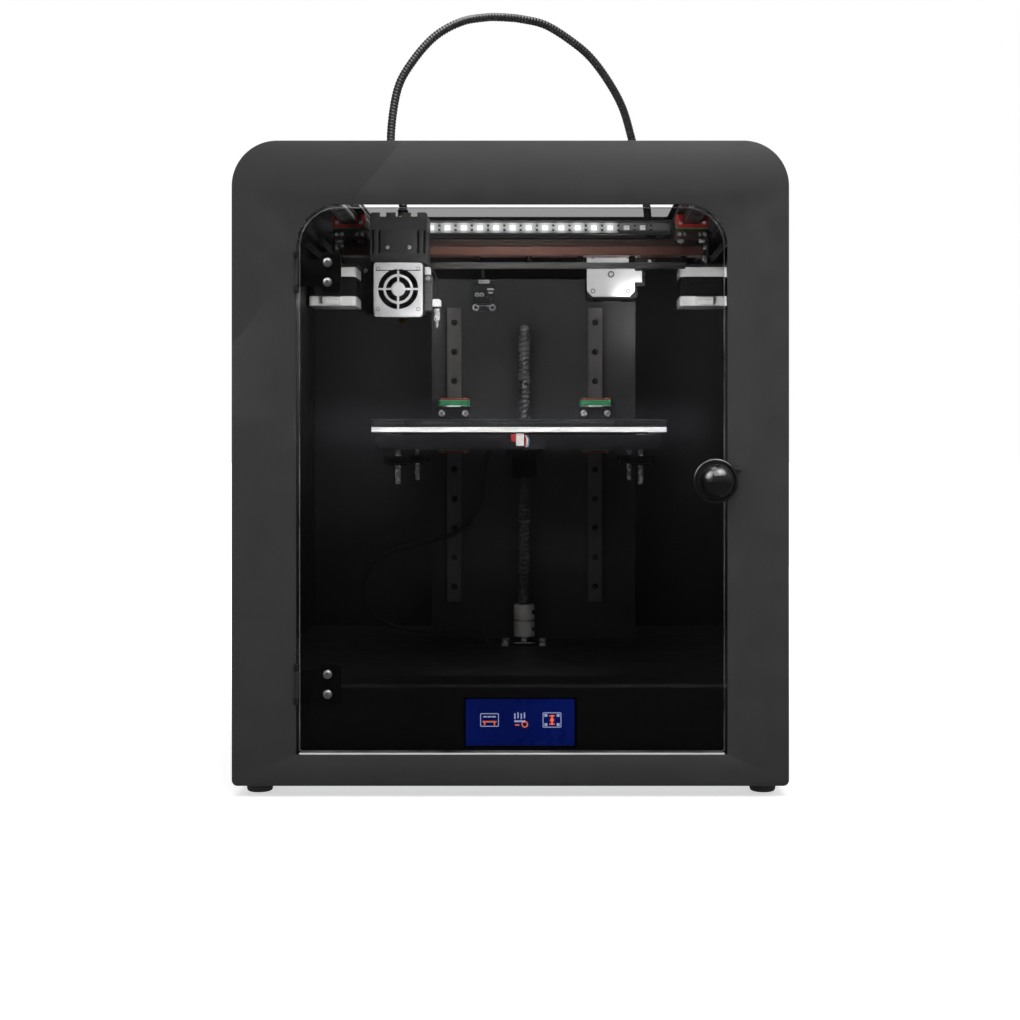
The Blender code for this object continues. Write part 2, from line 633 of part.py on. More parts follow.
def build_lift():
    flange = 24.0
    sheet = 3.0
    left, right = -74.0, 100.0
    rear = TOWER_DEPTH + flange
    section = [(left, TOWER_DEPTH), (right, TOWER_DEPTH), (right, rear), (right - sheet, rear),
               (right - sheet, TOWER_DEPTH + sheet), (left + sheet, TOWER_DEPTH + sheet),
               (left + sheet, rear), (left, rear)]
    tower = slab("z_tower_plate", [section], DECK_TOP + GAP, TOWER_TOP, "top", DARK_PAINT)
    notch = box("extruder_notch_cutter", (EXTRUDER_X - 22.5, TOWER_DEPTH - 5, EXTRUDER_HEIGHT - 22.3),
                (right + 5, rear + 5, TOWER_TOP + 5))
    cut(tower, notch)

    lift_axis = axis_empty("bed_lift_axis", AXIS_X, SCREW_DEPTH, 258.0)
    for side, x in (("left", AXIS_X - Z_RAIL_HALF_SPACING), ("right", AXIS_X + Z_RAIL_HALF_SPACING)):
        z_rail(side, x)
        carry(lift_axis, z_carriage(side, x))

    upright_motor("z_motor", AXIS_X, SCREW_DEPTH, DECK_TOP - 1.5 - GAP, COUPLER_BOTTOM - 0.4)

    screw_axis = axis_empty("screw_axis", AXIS_X, SCREW_DEPTH, COUPLER_BOTTOM)
    groove = (COUPLER_BOTTOM + COUPLER_TOP) / 2
    profile = [(0, SCREW_TOP), (SCREW_RADIUS - 1, SCREW_TOP), (SCREW_RADIUS, SCREW_TOP - 1),
               (SCREW_RADIUS, COUPLER_TOP), (COUPLER_RADIUS - 0.6, COUPLER_TOP),
               (COUPLER_RADIUS, COUPLER_TOP - 0.6), (COUPLER_RADIUS, groove + 0.5),
               (COUPLER_RADIUS - 1, groove + 0.3), (COUPLER_RADIUS - 1, groove - 0.3),
               (COUPLER_RADIUS, groove - 0.5), (COUPLER_RADIUS, COUPLER_BOTTOM + 0.6),
               (COUPLER_RADIUS - 0.6, COUPLER_BOTTOM), (0, COUPLER_BOTTOM)]
    screw = turned("ball_screw", profile, (AXIS_X, SCREW_DEPTH, 0), "z", STEEL, 20)
    carry(screw_axis, screw)
    build_bed(lift_axis)


def level_places():
    return [(f"{end}_{side}", AXIS_X + sign * LEVEL_SPACING / 2, depth)
            for end, depth in (("front", LEVEL_FRONT), ("rear", LEVEL_REAR))
            for side, sign in (("left", -1), ("right", 1))]


def build_bed(lift_axis):
    left, right = BED_LEFT + 2.7, BED_RIGHT - 2.8
    plate_depth = TOWER_DEPTH - GAP - CARRIAGE_TOTAL - GAP
    outline = rounded_rectangle(left, 20, right, plate_depth - 0.4, (3, 3, 30, 30), 4)
    windows = [rounded_rectangle(left + 22, 60, AXIS_X - 14, 218, (8, 8, 8, 8), 3),
               rounded_rectangle(AXIS_X + 14, 60.5, right - 22, 217.5, (8, 8, 8, 8), 3)]
    frame = slab("bed_frame", [outline, *windows], BED_FRAME_BOTTOM, BED_FRAME_TOP, "top", DARK_PAINT)
    lip = slab("bed_frame_lip", [rounded_rectangle(left + 0.3, BED_FRAME_BOTTOM - 0.5, right - 0.3, 247.5,
                                                   (5, 5, 1, 1), 4)], 19.5, 21.5, "front")
    cross = box("bed_frame_cross", (AXIS_X - 76, plate_depth - 3, BED_FRAME_BOTTOM + 0.5),
                (AXIS_X + 76, plate_depth - 0.2, 250))
    tabs = [box(f"bed_frame_tab_{i}", (AXIS_X + x - 14, plate_depth - 2.8, BED_FRAME_BOTTOM + 1),
                (AXIS_X + x + 14, plate_depth, 273.5))
            for i, x in enumerate((-Z_RAIL_HALF_SPACING, Z_RAIL_HALF_SPACING))]
    ribs = [box(f"bed_frame_rib_{i}", (x - 1, 20.7, BED_FRAME_BOTTOM + 1.5), (x + 1, plate_depth - 1.5, 247))
            for i, x in enumerate((left + 18, right - 18))]
    nut = rod("ball_nut_body", (AXIS_X, SCREW_DEPTH, 214), 25, 11, sides=20)
    nut_flange = rod("ball_nut_flange", (AXIS_X, SCREW_DEPTH, 233.5), 6, 17, sides=20)
    bore = rod("ball_nut_bore", (AXIS_X, SCREW_DEPTH, 200), 60, SCREW_RADIUS + 0.6, sides=16)
    join(frame, lip, cross, *tabs, *ribs, nut, nut_flange)
    drills = drill_row("level_drills", [(x, depth, BED_FRAME_TOP) for _, x, depth in level_places()],
                       3.0, 12, "z", 10)
    cut(frame, bore, drills)

    heater = box("heater_plate", (BED_LEFT, BED_FRONT, HEATER_BOTTOM), (BED_RIGHT, BED_REAR, HEATER_TOP),
                 ALUMINIUM)
    plate = slab("build_plate", [rounded_rectangle(BED_LEFT - 0.4, BED_FRONT - 0.4, BED_RIGHT + 0.4,
                                                   BED_REAR + 0.4, (3, 3, 3, 3), 3)],
                 HEATER_TOP + GAP, BUILD_PLATE_TOP, "top", BLACK_PLASTIC)
    carry(lift_axis, frame, heater, plate)
    for name, x, depth in level_places():
        stem = rod(f"level_stem_{name}", (x, depth, 213), HEATER_BOTTOM - 212, 2.0, sides=12)
        join(heater, stem)
        wheel_axis = axis_empty(f"wheel_axis_{name}", x, depth, WHEEL_BOTTOM, lift_axis)
        half = WHEEL_RADIUS
        profile = [(2.3, WHEEL_TOP), (half - 1, WHEEL_TOP), (half, WHEEL_TOP - 1), (half, WHEEL_BOTTOM + 1),
                   (half - 1, WHEEL_BOTTOM), (2.3, WHEEL_BOTTOM), (2.3, WHEEL_TOP)]
        carry(wheel_axis, turned(f"level_wheel_{name}", profile, (x, depth, 0), "z", ALUMINIUM, 16))


# ---------------------------------------------------------------- gantry

def build_upper_frame():
    inner_half = CASE_WIDTH / 2 - 4.7                  # clear of the rounded upper corners
    thickness = 2.4
    hole = rounded_rectangle(Y_RAIL_X["left"] + 12, 28, Y_RAIL_X["right"] - 12, 340, (6, 6, 6, 6), 4)
    frame = slab("upper_frame", [rounded_rectangle(-inner_half, 6, inner_half, 392, (0, 0, 0, 0)), hole],
                 Y_RAIL_FOOT, Y_RAIL_FOOT + thickness, "top", DARK_PAINT)
    for side, x in XY_MOTOR_X.items():
        outward = -1 if side == "left" else 1
        low_x, high_x = sorted((outward * inner_half, x - outward * 24))
        bracket = box(f"motor_bracket_{side}", (low_x, XY_MOTOR_DEPTH - 24, XY_MOTOR_TOP + GAP),
                      (high_x, 392, XY_MOTOR_TOP + GAP + 2.0))
        web = box(f"motor_web_{side}", (low_x, 389.5, XY_MOTOR_TOP + GAP), (high_x, 392, Y_RAIL_FOOT + 1))
        bore = rod(f"motor_bore_{side}", (x, XY_MOTOR_DEPTH, XY_MOTOR_TOP - 5), 12, 11.5)
        join(frame, bracket, web)
        cut(frame, bore)
        post = rod(f"idler_post_{side}", (x, IDLER_DEPTH, BELT_BOTTOM - 3), Y_RAIL_FOOT - BELT_BOTTOM + 4,
                   2.5, sides=14)
        join(frame, post)

    for side, x in Y_RAIL_X.items():
        y_rail(side, x)


def belt_wheel(name, x, depth, bore, flange):
    profile = [(bore, BELT_TOP + 1.6), (flange, BELT_TOP + 1.6), (flange, BELT_TOP + 0.6),
               (PULLEY_RADIUS, BELT_TOP + 0.4), (PULLEY_RADIUS, BELT_BOTTOM - 0.4),
               (flange, BELT_BOTTOM - 0.6), (flange, BELT_BOTTOM - 1.4), (bore, BELT_BOTTOM - 1.4),
               (bore, BELT_TOP + 1.6)]
    axis = axis_empty(name + "_axis", x, depth, BELT_BOTTOM)
    carry(axis, turned(name, profile, (x, depth, 0), "z", ALUMINIUM, 16))


def build_belt_drive():
    for side, x in XY_MOTOR_X.items():
        upright_motor(f"xy_motor_{side}", x, XY_MOTOR_DEPTH, XY_MOTOR_TOP, BELT_TOP + 6)
        belt_wheel(f"motor_pulley_{side}", x, XY_MOTOR_DEPTH, 2.8, 8.4)
        belt_wheel(f"front_idler_{side}", x, IDLER_DEPTH, 2.8, 8.4)
        inner = PULLEY_RADIUS + GAP
        outer = inner + 1.4
        loops = [[*arc((x, XY_MOTOR_DEPTH), radius, 0, 180, 10), *arc((x, IDLER_DEPTH), radius, 180, 360, 10)]
                 for radius in (outer, inner)]
        slab(f"y_belt_{side}", loops, BELT_BOTTOM, BELT_TOP, "top", RUBBER)


def build_gantry(gantry_axis):
    left, right = Y_RAIL_X["left"] - 6, Y_RAIL_X["right"] + 10
    beam = box("x_beam", (left, BEAM_FRONT, BEAM_BOTTOM), (right, BEAM_REAR, BEAM_TOP), COPPER_BROWN)
    spacer = box("x_rail_spacer", (left + 14, BEAM_FRONT + 6, X_RAIL_TOP - 0.5),
                 (right - 14, BEAM_FRONT + 12, BEAM_BOTTOM + 1))
    rail = box("x_rail", (left + 14, BEAM_FRONT + 4.5, X_RAIL_BOTTOM),
               (right - 14, BEAM_FRONT + 13.5, X_RAIL_TOP))
    join(beam, spacer, rail)
    for side, x in Y_RAIL_X.items():
        plate = box(f"gantry_end_{side}", (x - 13.5, Y_CARRIAGE_FRONT + 2, BEAM_TOP - 1),
                    (x + 13.5, Y_CARRIAGE_FRONT + 43, Y_RAIL_FOOT - GAP - CARRIAGE_TOTAL - GAP))
        join(beam, plate)
        carry(gantry_axis, y_carriage(side, x))
    bar_left, bar_right = Y_RAIL_X["left"] + 15.5, Y_RAIL_X["right"] - 15.5
    light = box("light_bar", (bar_left, BEAM_FRONT - 0.5, 409.0), (bar_right, BEAM_FRONT + 9, 420.0),
                LIGHT_WHITE)
    legs = [box(f"light_bar_leg_{i}", (x - 4, BEAM_FRONT + 3, BEAM_TOP + GAP), (x + 4, BEAM_FRONT + 8, 410))
            for i, x in enumerate((bar_left + 12, bar_right - 12))]
    join(light, *legs)
    carry(gantry_axis, beam, light)


def build_head(head_axis):
    housing = box("head_housing", (-112, 152.5, 382.0), (-68, 189.6, 420.7), BLACK_PLASTIC)
    slots = slot_row("housing_slot_cutter", [(-90 + 17.5 * sign + 2.4 * i, 152.5, 398) for sign in (-1, 1)
                                             for i in (-1, 1)], (1.5, 4, 18))
    lower = box("housing_lower", (HEAD_LEFT, 166, 344), (HEAD_RIGHT, 189.6, 383))
    saddle_section = [(186, 376.0), (206.5, 376.0), (206.5, 386.4), (204.6, 386.4), (204.6, 381.6),
                      (194.0, 381.6), (194.0, 386.4), (191.5, 386.4), (191.5, 379.5), (186, 379.5)]
    saddle = slab("carriage_saddle", [saddle_section], -108, -73, "side")
    fitting = rod("tube_fitting", (-88.3, 172, 420), 5.5, 5.0, sides=16)
    notches = slot_row("housing_notch_cutter", [(-102, 160, 421), (-90, 160, 421), (-78, 160, 421)],
                       (4, 20, 4))
    probe = rod("bed_probe", (-62, 176, 336), 30, 2.4, sides=12)
    tip_profile = [(0, 337), (1.2, 337), (1.2, 334), (0, 333.4)]
    probe_tip = turned("probe_tip", tip_profile, (-62, 176, 0), "z", None, 8)
    probe_arm = box("probe_arm", (-66, 171, 352), (-58.5, 181, 360))
    throat = box("hot_end_cutter", (-97, 165, 343), (-81, 184, 357))
    join(housing, lower, saddle, fitting, probe, probe_tip, probe_arm)
    cut(housing, slots, notches, throat)

    cover_front, cover_rear = COVER_FRONT, 165.7
    half_width, half_height = 18.9, 21.2
    cover = box("fan_cover", (FAN_X - half_width, cover_front, FAN_HEIGHT - half_height),
                (FAN_X + half_width, cover_rear, FAN_HEIGHT + half_height - 0.6), ALUMINIUM, 0.8)
    chamber = rod("fan_chamber_cutter", (FAN_X, cover_front + 1.6, FAN_HEIGHT), 20, 17.4, "y", sides=24)
    ring = slab("grille_ring_cutter", [arc((FAN_X, FAN_HEIGHT), 15.5, 0, 345, 23),
                                       arc((FAN_X, FAN_HEIGHT), 11.5, 0, 345, 23)],
                cover_front - 2, cover_front + 3, "front")
    inner_ring = slab("grille_inner_ring_cutter", [arc((FAN_X, FAN_HEIGHT), 9.5, 0, 337.5, 15),
                                                   arc((FAN_X, FAN_HEIGHT), 5.5, 0, 337.5, 15)],
                      cover_front - 2, cover_front + 3, "front")
    cut(cover, chamber, ring, inner_ring)
    bars = [box("grille_bar_flat", (FAN_X - 17, cover_front + 0.2, FAN_HEIGHT - 0.8),
                (FAN_X + 17, cover_front + 1.5, FAN_HEIGHT + 0.8)),
            box("grille_bar_upright", (FAN_X - 0.8, cover_front + 0.2, FAN_HEIGHT - 17),
                (FAN_X + 0.8, cover_front + 1.5, FAN_HEIGHT + 17))]
    join(cover, *bars)

    fan_axis = axis_empty("fan_axis", FAN_X, cover_front + 8, FAN_HEIGHT, head_axis)
    hub = rod("fan_rotor", (FAN_X, cover_front + 3, FAN_HEIGHT), 9, 7, "y", BLACK_PLASTIC, 20)
    for i in range(7):
        blade = box(f"fan_blade_{i}", (FAN_X - 0.6, cover_front + 3.6, FAN_HEIGHT + 6),
                    (FAN_X + 0.6, cover_front + 11, FAN_HEIGHT + 16.6))
        turn_blade(blade, i * 360 / 7)
        join(hub, blade)
    carry(fan_axis, hub)

    hot_end = box("hot_end", (-96.5, 165.9, 341.5), (-81.5, 183.5, 350), ALUMINIUM)
    barrel = rod("heat_break", (-88.3, 174, 349), 7.6, 3, sides=16)
    tip = turned("nozzle_tip", [(0, 342), (3.2, 342), (3.2, 339.5), (0.9, 336), (0, 336)], (-88.3, 174, 0),
                 "z", None, 16)
    join(hot_end, barrel, tip)

    carry(head_axis, housing, cover, hot_end)


def turn_blade(blade, angle_deg):
    """Pitch a blade, then turn it about the fan's axis."""
    centre = place(FAN_X, 0, FAN_HEIGHT)
    centre.y = blade.location.y
    turn = Matrix.Rotation(math.radians(angle_deg), 4, "Y")
    blade.location = centre + turn @ (blade.location - centre)
    blade.rotation_euler = (turn @ Matrix.Rotation(math.radians(28), 4, "Z")).to_euler()


# ---------------------------------------------------------------- extruder, limit switch

def build_extruder():
    motor_outline = shifted(chamfered_square(MOTOR_SIDE, 4), EXTRUDER_X, EXTRUDER_HEIGHT)
    motor = slab("extruder_motor", [motor_outline], EXTRUDER_DEPTH + 3.3, EXTRUDER_DEPTH + 43.3, "front",
                 BLACK_STEEL)
    drop = slab("extruder_body", [rounded_rectangle(EXTRUDER_X - 19, 356.5, EXTRUDER_X + 19, 370,
                                                    (6, 6, 1, 1), 5)],
                EXTRUDER_DEPTH + 3.3, EXTRUDER_DEPTH + 15, "front")
    shaft = rod("extruder_shaft", (EXTRUDER_X, EXTRUDER_DEPTH - 9, EXTRUDER_HEIGHT), 13, 2.5, "y", sides=14)
    join(motor, drop, shaft)

    low, high = EXTRUDER_HEIGHT - 21.2, EXTRUDER_HEIGHT + 21.2
    left, right = EXTRUDER_X - 21.2, EXTRUDER_X + 21.2
    outline = [(left, low + 5), (left + 5, low), (right - 5 - 4, low), (right - 4, low + 5),
               (right - 4, low + 12), (right, low + 12), (right, high), (left, high)]
    plate = slab("extruder_plate", [outline], EXTRUDER_DEPTH, EXTRUDER_DEPTH + 3, "front", ALUMINIUM)
    boss_hole = rod("extruder_boss_cutter", (EXTRUDER_X, EXTRUDER_DEPTH - 5, EXTRUDER_HEIGHT), 20, 11.2, "y")
    cut(plate, boss_hole)
    guide = box("filament_guide", (right - 7, EXTRUDER_DEPTH - 10, EXTRUDER_HEIGHT - 12),
                (right + 14, EXTRUDER_DEPTH + 1, EXTRUDER_HEIGHT + 20))
    guide_clearance = rod("gear_clearance_cutter", (EXTRUDER_X, EXTRUDER_DEPTH - 14, EXTRUDER_HEIGHT), 20,
                          16.5, "y")
    fitting = rod("extruder_fitting", (right + 8.6, 270, EXTRUDER_HEIGHT + 8), 17, 4.5, sides=16)
    fitting_arm = box("fitting_arm", (right + 3.6, EXTRUDER_DEPTH - 3, EXTRUDER_HEIGHT + 4),
                      (right + 13.6, 275, EXTRUDER_HEIGHT + 20))
    join(guide, fitting_arm, fitting)
    cut(guide, guide_clearance)
    join(plate, guide)

    gear_axis = axis_empty("drive_gear_axis", EXTRUDER_X, EXTRUDER_DEPTH - 6, EXTRUDER_HEIGHT)
    gear = gear_ring("drive_gear", EXTRUDER_X, EXTRUDER_DEPTH - 9.5, EXTRUDER_HEIGHT, 7)
    carry(gear_axis, gear)

    lever_x, lever_height = EXTRUDER_X - 14.5, EXTRUDER_HEIGHT - 13.5
    lever_axis = axis_empty("extruder_lever_axis", lever_x, EXTRUDER_DEPTH - 5, lever_height)
    lever_outline = [(lever_x - 4, lever_height - 4), (lever_x + 4, lever_height - 4),
                     (lever_x + 4, lever_height + 6), (lever_x + 8.5, lever_height + 9),
                     (lever_x + 8.5, lever_height + 18), (lever_x + 6.4, lever_height + 20),
                     (lever_x + 6.4, lever_height + 31), (lever_x - 2, lever_height + 31),
                     (lever_x - 4, lever_height + 12)]
    lever = slab("extruder_lever", [lever_outline], EXTRUDER_DEPTH - 8, EXTRUDER_DEPTH - 1, "front",
                 BLACK_PLASTIC)
    lever_clearance = rod("lever_clearance_cutter", (EXTRUDER_X, EXTRUDER_DEPTH - 14, EXTRUDER_HEIGHT), 20,
                          7.6, "y")
    cut(lever, lever_clearance)
    carry(lever_axis, lever)


def gear_ring(name, x, depth, height, length):
    """The toothed drive gear: a ring of teeth around the motor's shaft."""
    teeth = 20
    outline = []
    for i in range(2 * teeth):
        radius = 6.6 if i % 2 else 5.8
        angle = math.pi * i / teeth
        outline.append((x + radius * math.cos(angle), height + radius * math.sin(angle)))
    return slab(name, [outline, arc((x, height), 2.8, 0, 337.5, 15)], depth, depth + length, "front", BRASS)


def build_limit_switch():
    board = box("limit_switch_board", (-39.5, TOWER_DEPTH - 3.9, 355), (-19, TOWER_DEPTH - GAP, 381.8),
                CIRCUIT_BLACK)
    drills = drill_row("limit_board_drills", [(x, TOWER_DEPTH - 2, height) for x in (-36.3, -22.2)
                                              for height in (358.6, 378.2)], 1.6, 12, "y")
    body = box("limit_switch_body", (-36, TOWER_DEPTH - 10, 361.5), (-23, TOWER_DEPTH - 3, 367.5))
    cut(board, drills)
    join(board, body)
    hinge = axis_empty("limit_lever_axis", -35.2, TOWER_DEPTH - 8, 359.6)
    lever = box("limit_switch_lever", (-35.7, TOWER_DEPTH - 9.5, 359.2), (-19.5, TOWER_DEPTH - 6, 359.9),
                STEEL)
    carry(hinge, lever)


# ---------------------------------------------------------------- tube and lead

# Each route runs from the piece that holds one end to the piece that holds the other.
TUBE_LEFT = [(-88.3, 172, 426), (-88.6, 172.2, 433), (-91, 174, 446), (-95.5, 177.5, 463),
             (-98.5, 180, 485), (-94.3, 186, 521), (-84.3, 190, 543), (-65.7, 197, 567),
             (-44.5, 204, 581), (-24, 211.2, 586.6), (-11.6, 215, 587.7)]
TUBE_RIGHT = [(-10.9, 215.2, 587.7), (3, 219.3, 587.4), (23.7, 226, 584), (45.9, 234, 572),
              (61.7, 240, 559.5), (76.8, 247, 540.5), (87.8, 253, 521), (95.6, 259, 496.3),
              (103, 264.5, 469), (108.2, 268.5, 444), (109.6, 270, 428), (109.6, 270, 419),
              (109.6, 270, 411.6)]
BED_LEAD = [(-24, 262, 236.5), (-28, 266, 222), (-31, 270, 196), (-40, 272, 178), (-58, 272, 164),
            (-82, 270, 158), (-106, 268, 152), (-124, 266, 138), (-130, 264, 120), (-124, 263, 102),
            (-106, 263, 90), (-80, 263, 85), (-56, 263, 83.5), (-38, 262.6, 84), (-28, 262, 80),
            (-26, 262, 74), (-26, 262, 66)]
TUBE_SPACING = 14
LEAD_SPACING = 12
LEAD_RADIUS = 1.9


def build_tubes():
    tube("head_tube", smooth_route(TUBE_LEFT, TUBE_SPACING), TUBE_RADIUS, BLACK_PLASTIC)
    tube("extruder_tube", smooth_route(TUBE_RIGHT, TUBE_SPACING), TUBE_RADIUS, BLACK_PLASTIC)
    tube("bed_lead", smooth_route(BED_LEAD, LEAD_SPACING), LEAD_RADIUS, RUBBER)


clear_scene()
printer = new_collection("fdm_printer")
cutters = new_collection("fdm_printer_cutters")
build_case()
build_electronics()
build_door()
build_lift()
build_upper_frame()
build_belt_drive()
gantry_axis = axis_empty("gantry_axis", AXIS_X, 200, 400)
head_axis = axis_empty("head_axis", FAN_X, 200, 385, gantry_axis)
build_gantry(gantry_axis)
build_head(head_axis)
build_extruder()
build_limit_switch()
build_tubes()
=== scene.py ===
"""Looks of the enclosed filament printer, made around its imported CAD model.

Forms are in millimetres: x to the right seen from the front, y to the rear, z up from the surface
that the feet stand on. A form is a list of points and a list of faces, and a piece is one object
made of several forms, each with its own look.
"""

import math

import bmesh
import bpy
from mathutils import Matrix, Vector


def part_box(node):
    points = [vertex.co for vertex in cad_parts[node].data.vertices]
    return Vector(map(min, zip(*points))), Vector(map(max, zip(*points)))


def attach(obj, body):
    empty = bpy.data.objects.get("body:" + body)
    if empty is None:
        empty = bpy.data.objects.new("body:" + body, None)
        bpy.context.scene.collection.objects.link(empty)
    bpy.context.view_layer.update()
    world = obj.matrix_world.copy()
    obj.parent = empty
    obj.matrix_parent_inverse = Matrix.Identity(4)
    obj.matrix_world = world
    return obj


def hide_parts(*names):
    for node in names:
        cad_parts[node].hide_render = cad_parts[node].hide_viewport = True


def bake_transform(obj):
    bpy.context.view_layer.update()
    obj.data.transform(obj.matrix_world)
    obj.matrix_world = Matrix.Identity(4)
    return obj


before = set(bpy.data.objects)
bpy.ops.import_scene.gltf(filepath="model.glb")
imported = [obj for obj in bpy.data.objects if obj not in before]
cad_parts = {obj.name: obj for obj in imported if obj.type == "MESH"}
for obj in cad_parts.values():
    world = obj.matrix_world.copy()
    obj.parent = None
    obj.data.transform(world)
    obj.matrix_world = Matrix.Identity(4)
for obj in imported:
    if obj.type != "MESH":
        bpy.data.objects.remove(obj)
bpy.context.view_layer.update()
scene = bpy.context.scene
MM = 0.001
SHARP_ANGLE = math.radians(34)
SIDES = ("left", "right")
AHEAD, BEHIND = (0, -1, 0), (0, 1, 0)
UP, DOWN = (0, 0, 1), (0, 0, -1)
ORIGIN = (0, 0, 0)


def span(node):
    """A CAD node's lowest and highest corners, in millimetres."""
    low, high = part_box(node)
    return low / MM, high / MM


def middle(node):
    low, high = span(node)
    return (low + high) / 2


FRAME_THICKNESS = 3.3
FRONT = span("case_shell")[0].y - FRAME_THICKNESS   # the front frame's face, which depths are measured from


# ---------------------------------------------------------------- forms

def taken(bm):
    bm.verts.index_update()
    form = ([v.co.copy() for v in bm.verts], [[v.index for v in f.verts] for f in bm.faces])
    bm.free()
    return form


def moved(form, offset=(0, 0, 0), turn=None):
    turn = turn or Matrix.Identity(3)
    return [turn @ p + Vector(offset) for p in form[0]], form[1]


def joined(*forms):
    points, faces = [], []
    for form in forms:
        first = len(points)
        points += form[0]
        faces += [[first + i for i in face] for face in form[1]]
    return points, faces


def each(make, places, *settings):
    """One kind of form at each of the places. Its other settings are the same everywhere."""
    return joined(*(make(place, *settings) for place in places))


def corners(reach_x, reach_y=None):
    """The four corners of a rectangle around (0, 0)."""
    reach_y = reach_y or reach_x
    return [(x, y) for x in (-reach_x, reach_x) for y in (-reach_y, reach_y)]


def block(low, high, rounding=0.4, steps=2):
    low, high = Vector(low), Vector(high)
    bm = bmesh.new()
    bmesh.ops.create_cube(bm, size=1)
    for v in bm.verts:
        v.co = Vector([(low[i] + high[i]) / 2 + v.co[i] * (high[i] - low[i]) for i in range(3)])
    if rounding:
        bmesh.ops.bevel(bm, geom=bm.edges[:], offset=rounding, segments=steps, affect="EDGES", profile=0.5)
    return taken(bm)


def arc(centre, radius, start_deg, end_deg, steps):
    angles = [math.radians(start_deg + (end_deg - start_deg) * i / steps) for i in range(steps + 1)]
    return [(centre[0] + radius * math.cos(a), centre[1] + radius * math.sin(a)) for a in angles]


def circle(centre, radius, steps=24):
    return arc(centre, radius, 0, 360 - 360 / steps, steps - 1)


def rounded(left, bottom, right, top, radii, steps=8):
    """A rectangle's outline with rounded corners, from the lower left one around to the upper left."""
    if not isinstance(radii, tuple):
        radii = (radii,) * 4
    turns = ((left, bottom, 1, 1, 180), (right, bottom, -1, 1, 270), (right, top, -1, -1, 0),
             (left, top, 1, -1, 90))
    points = []
    for (x, y, inward_x, inward_y, start), radius in zip(turns, radii):
        if radius:
            points += arc((x + inward_x * radius, y + inward_y * radius), radius, start, start + 90, steps)
        else:
            points.append((x, y))
    return points


FACING = {
    "top": Matrix.Identity(3),
    "front": Matrix(((1, 0, 0), (0, 0, -1), (0, 1, 0))),
    "side": Matrix(((0, 0, 1), (1, 0, 0), (0, 1, 0))),
    "below": Matrix(((-1, 0, 0), (0, 1, 0), (0, 0, -1))),
    "crosswise": Matrix(((0, 1, 0), (1, 0, 0), (0, 0, -1))),
}
THICKNESS_AXIS = {"top": 2, "front": 1, "side": 0}


def plate(loops, low, high, facing="front", rounding=0.3):
    """A flat piece from outlines in its own plane, from low to high across it, with rounded edges."""
    curve = bpy.data.curves.new("outline", "CURVE")
    curve.dimensions = "2D"
    curve.fill_mode = "BOTH"
    curve.extrude = (high - low) / 2 - rounding
    curve.bevel_depth = rounding
    curve.offset = -rounding
    curve.bevel_resolution = 1
    for loop in loops:
        spline = curve.splines.new("POLY")
        spline.points.add(len(loop) - 1)
        for point, (u, v) in zip(spline.points, loop):
            point.co = (u, v, 0, 1)
        spline.use_cyclic_u = True
    guide = bpy.data.objects.new("outline", curve)
    mesh = bpy.data.meshes.new_from_object(guide)
    bpy.data.objects.remove(guide)
    bm = bmesh.new()
    bm.from_mesh(mesh)
    bpy.data.meshes.remove(mesh)
    bmesh.ops.remove_doubles(bm, verts=bm.verts[:], dist=0.002)
    offset = Vector((0, 0, 0))
    offset[THICKNESS_AXIS[facing]] = (low + high) / 2
    return moved(taken(bm), offset, FACING[facing])


RING_SHAPES = {
    "round": lambda turn, step: 1.0,
    "hex": lambda turn, step: math.cos(math.pi / 6) / math.cos(turn % (math.pi / 3) - math.pi / 6),
    "knurl": lambda turn, step: 0.95 + 0.05 * (step % 2),
    "teeth": lambda turn, step: 0.93 if step % 4 < 2 else 1.0,
}


def turned(profile, origin, axis=UP, steps=32):
    """A turned form. A profile entry is (radius, height) or (radius, height, ring shape)."""
    closed = profile[0] == profile[-1]
    entries = profile[:-1] if closed else profile
    points, rings = [], []
    for radius, height, *shape in entries:
        ring_shape = RING_SHAPES[shape[0] if shape else "round"]
        ring = []
        for i in range(steps if radius else 1):
            angle = 2 * math.pi * i / steps
            reach = radius * ring_shape(angle, i) if radius else 0
            ring.append(len(points))
            points.append(Vector((reach * math.cos(angle), reach * math.sin(angle), height)))
        rings.append(ring * steps if len(ring) == 1 else ring)
    faces = []
    for lower, upper in zip(rings, rings[1:] + ([rings[0]] if closed else [])):
        for i in range(steps):
            j = (i + 1) % steps
            four = [lower[i], lower[j], upper[j], upper[i]]
            face = [c for n, c in enumerate(four) if c not in four[:n]]
            if len(face) > 2:
                faces.append(face)
    turn = Vector((0, 0, 1)).rotation_difference(Vector(axis)).to_matrix()
    return moved((points, faces), origin, turn)


def rod(start, length, radius, axis=UP, chamfer=0.3, steps=24):
    profile = [(0, 0), (radius - chamfer, 0), (radius, chamfer), (radius, length - chamfer),
               (radius - chamfer, length), (0, length)]
    return turned(profile, start, axis, steps)


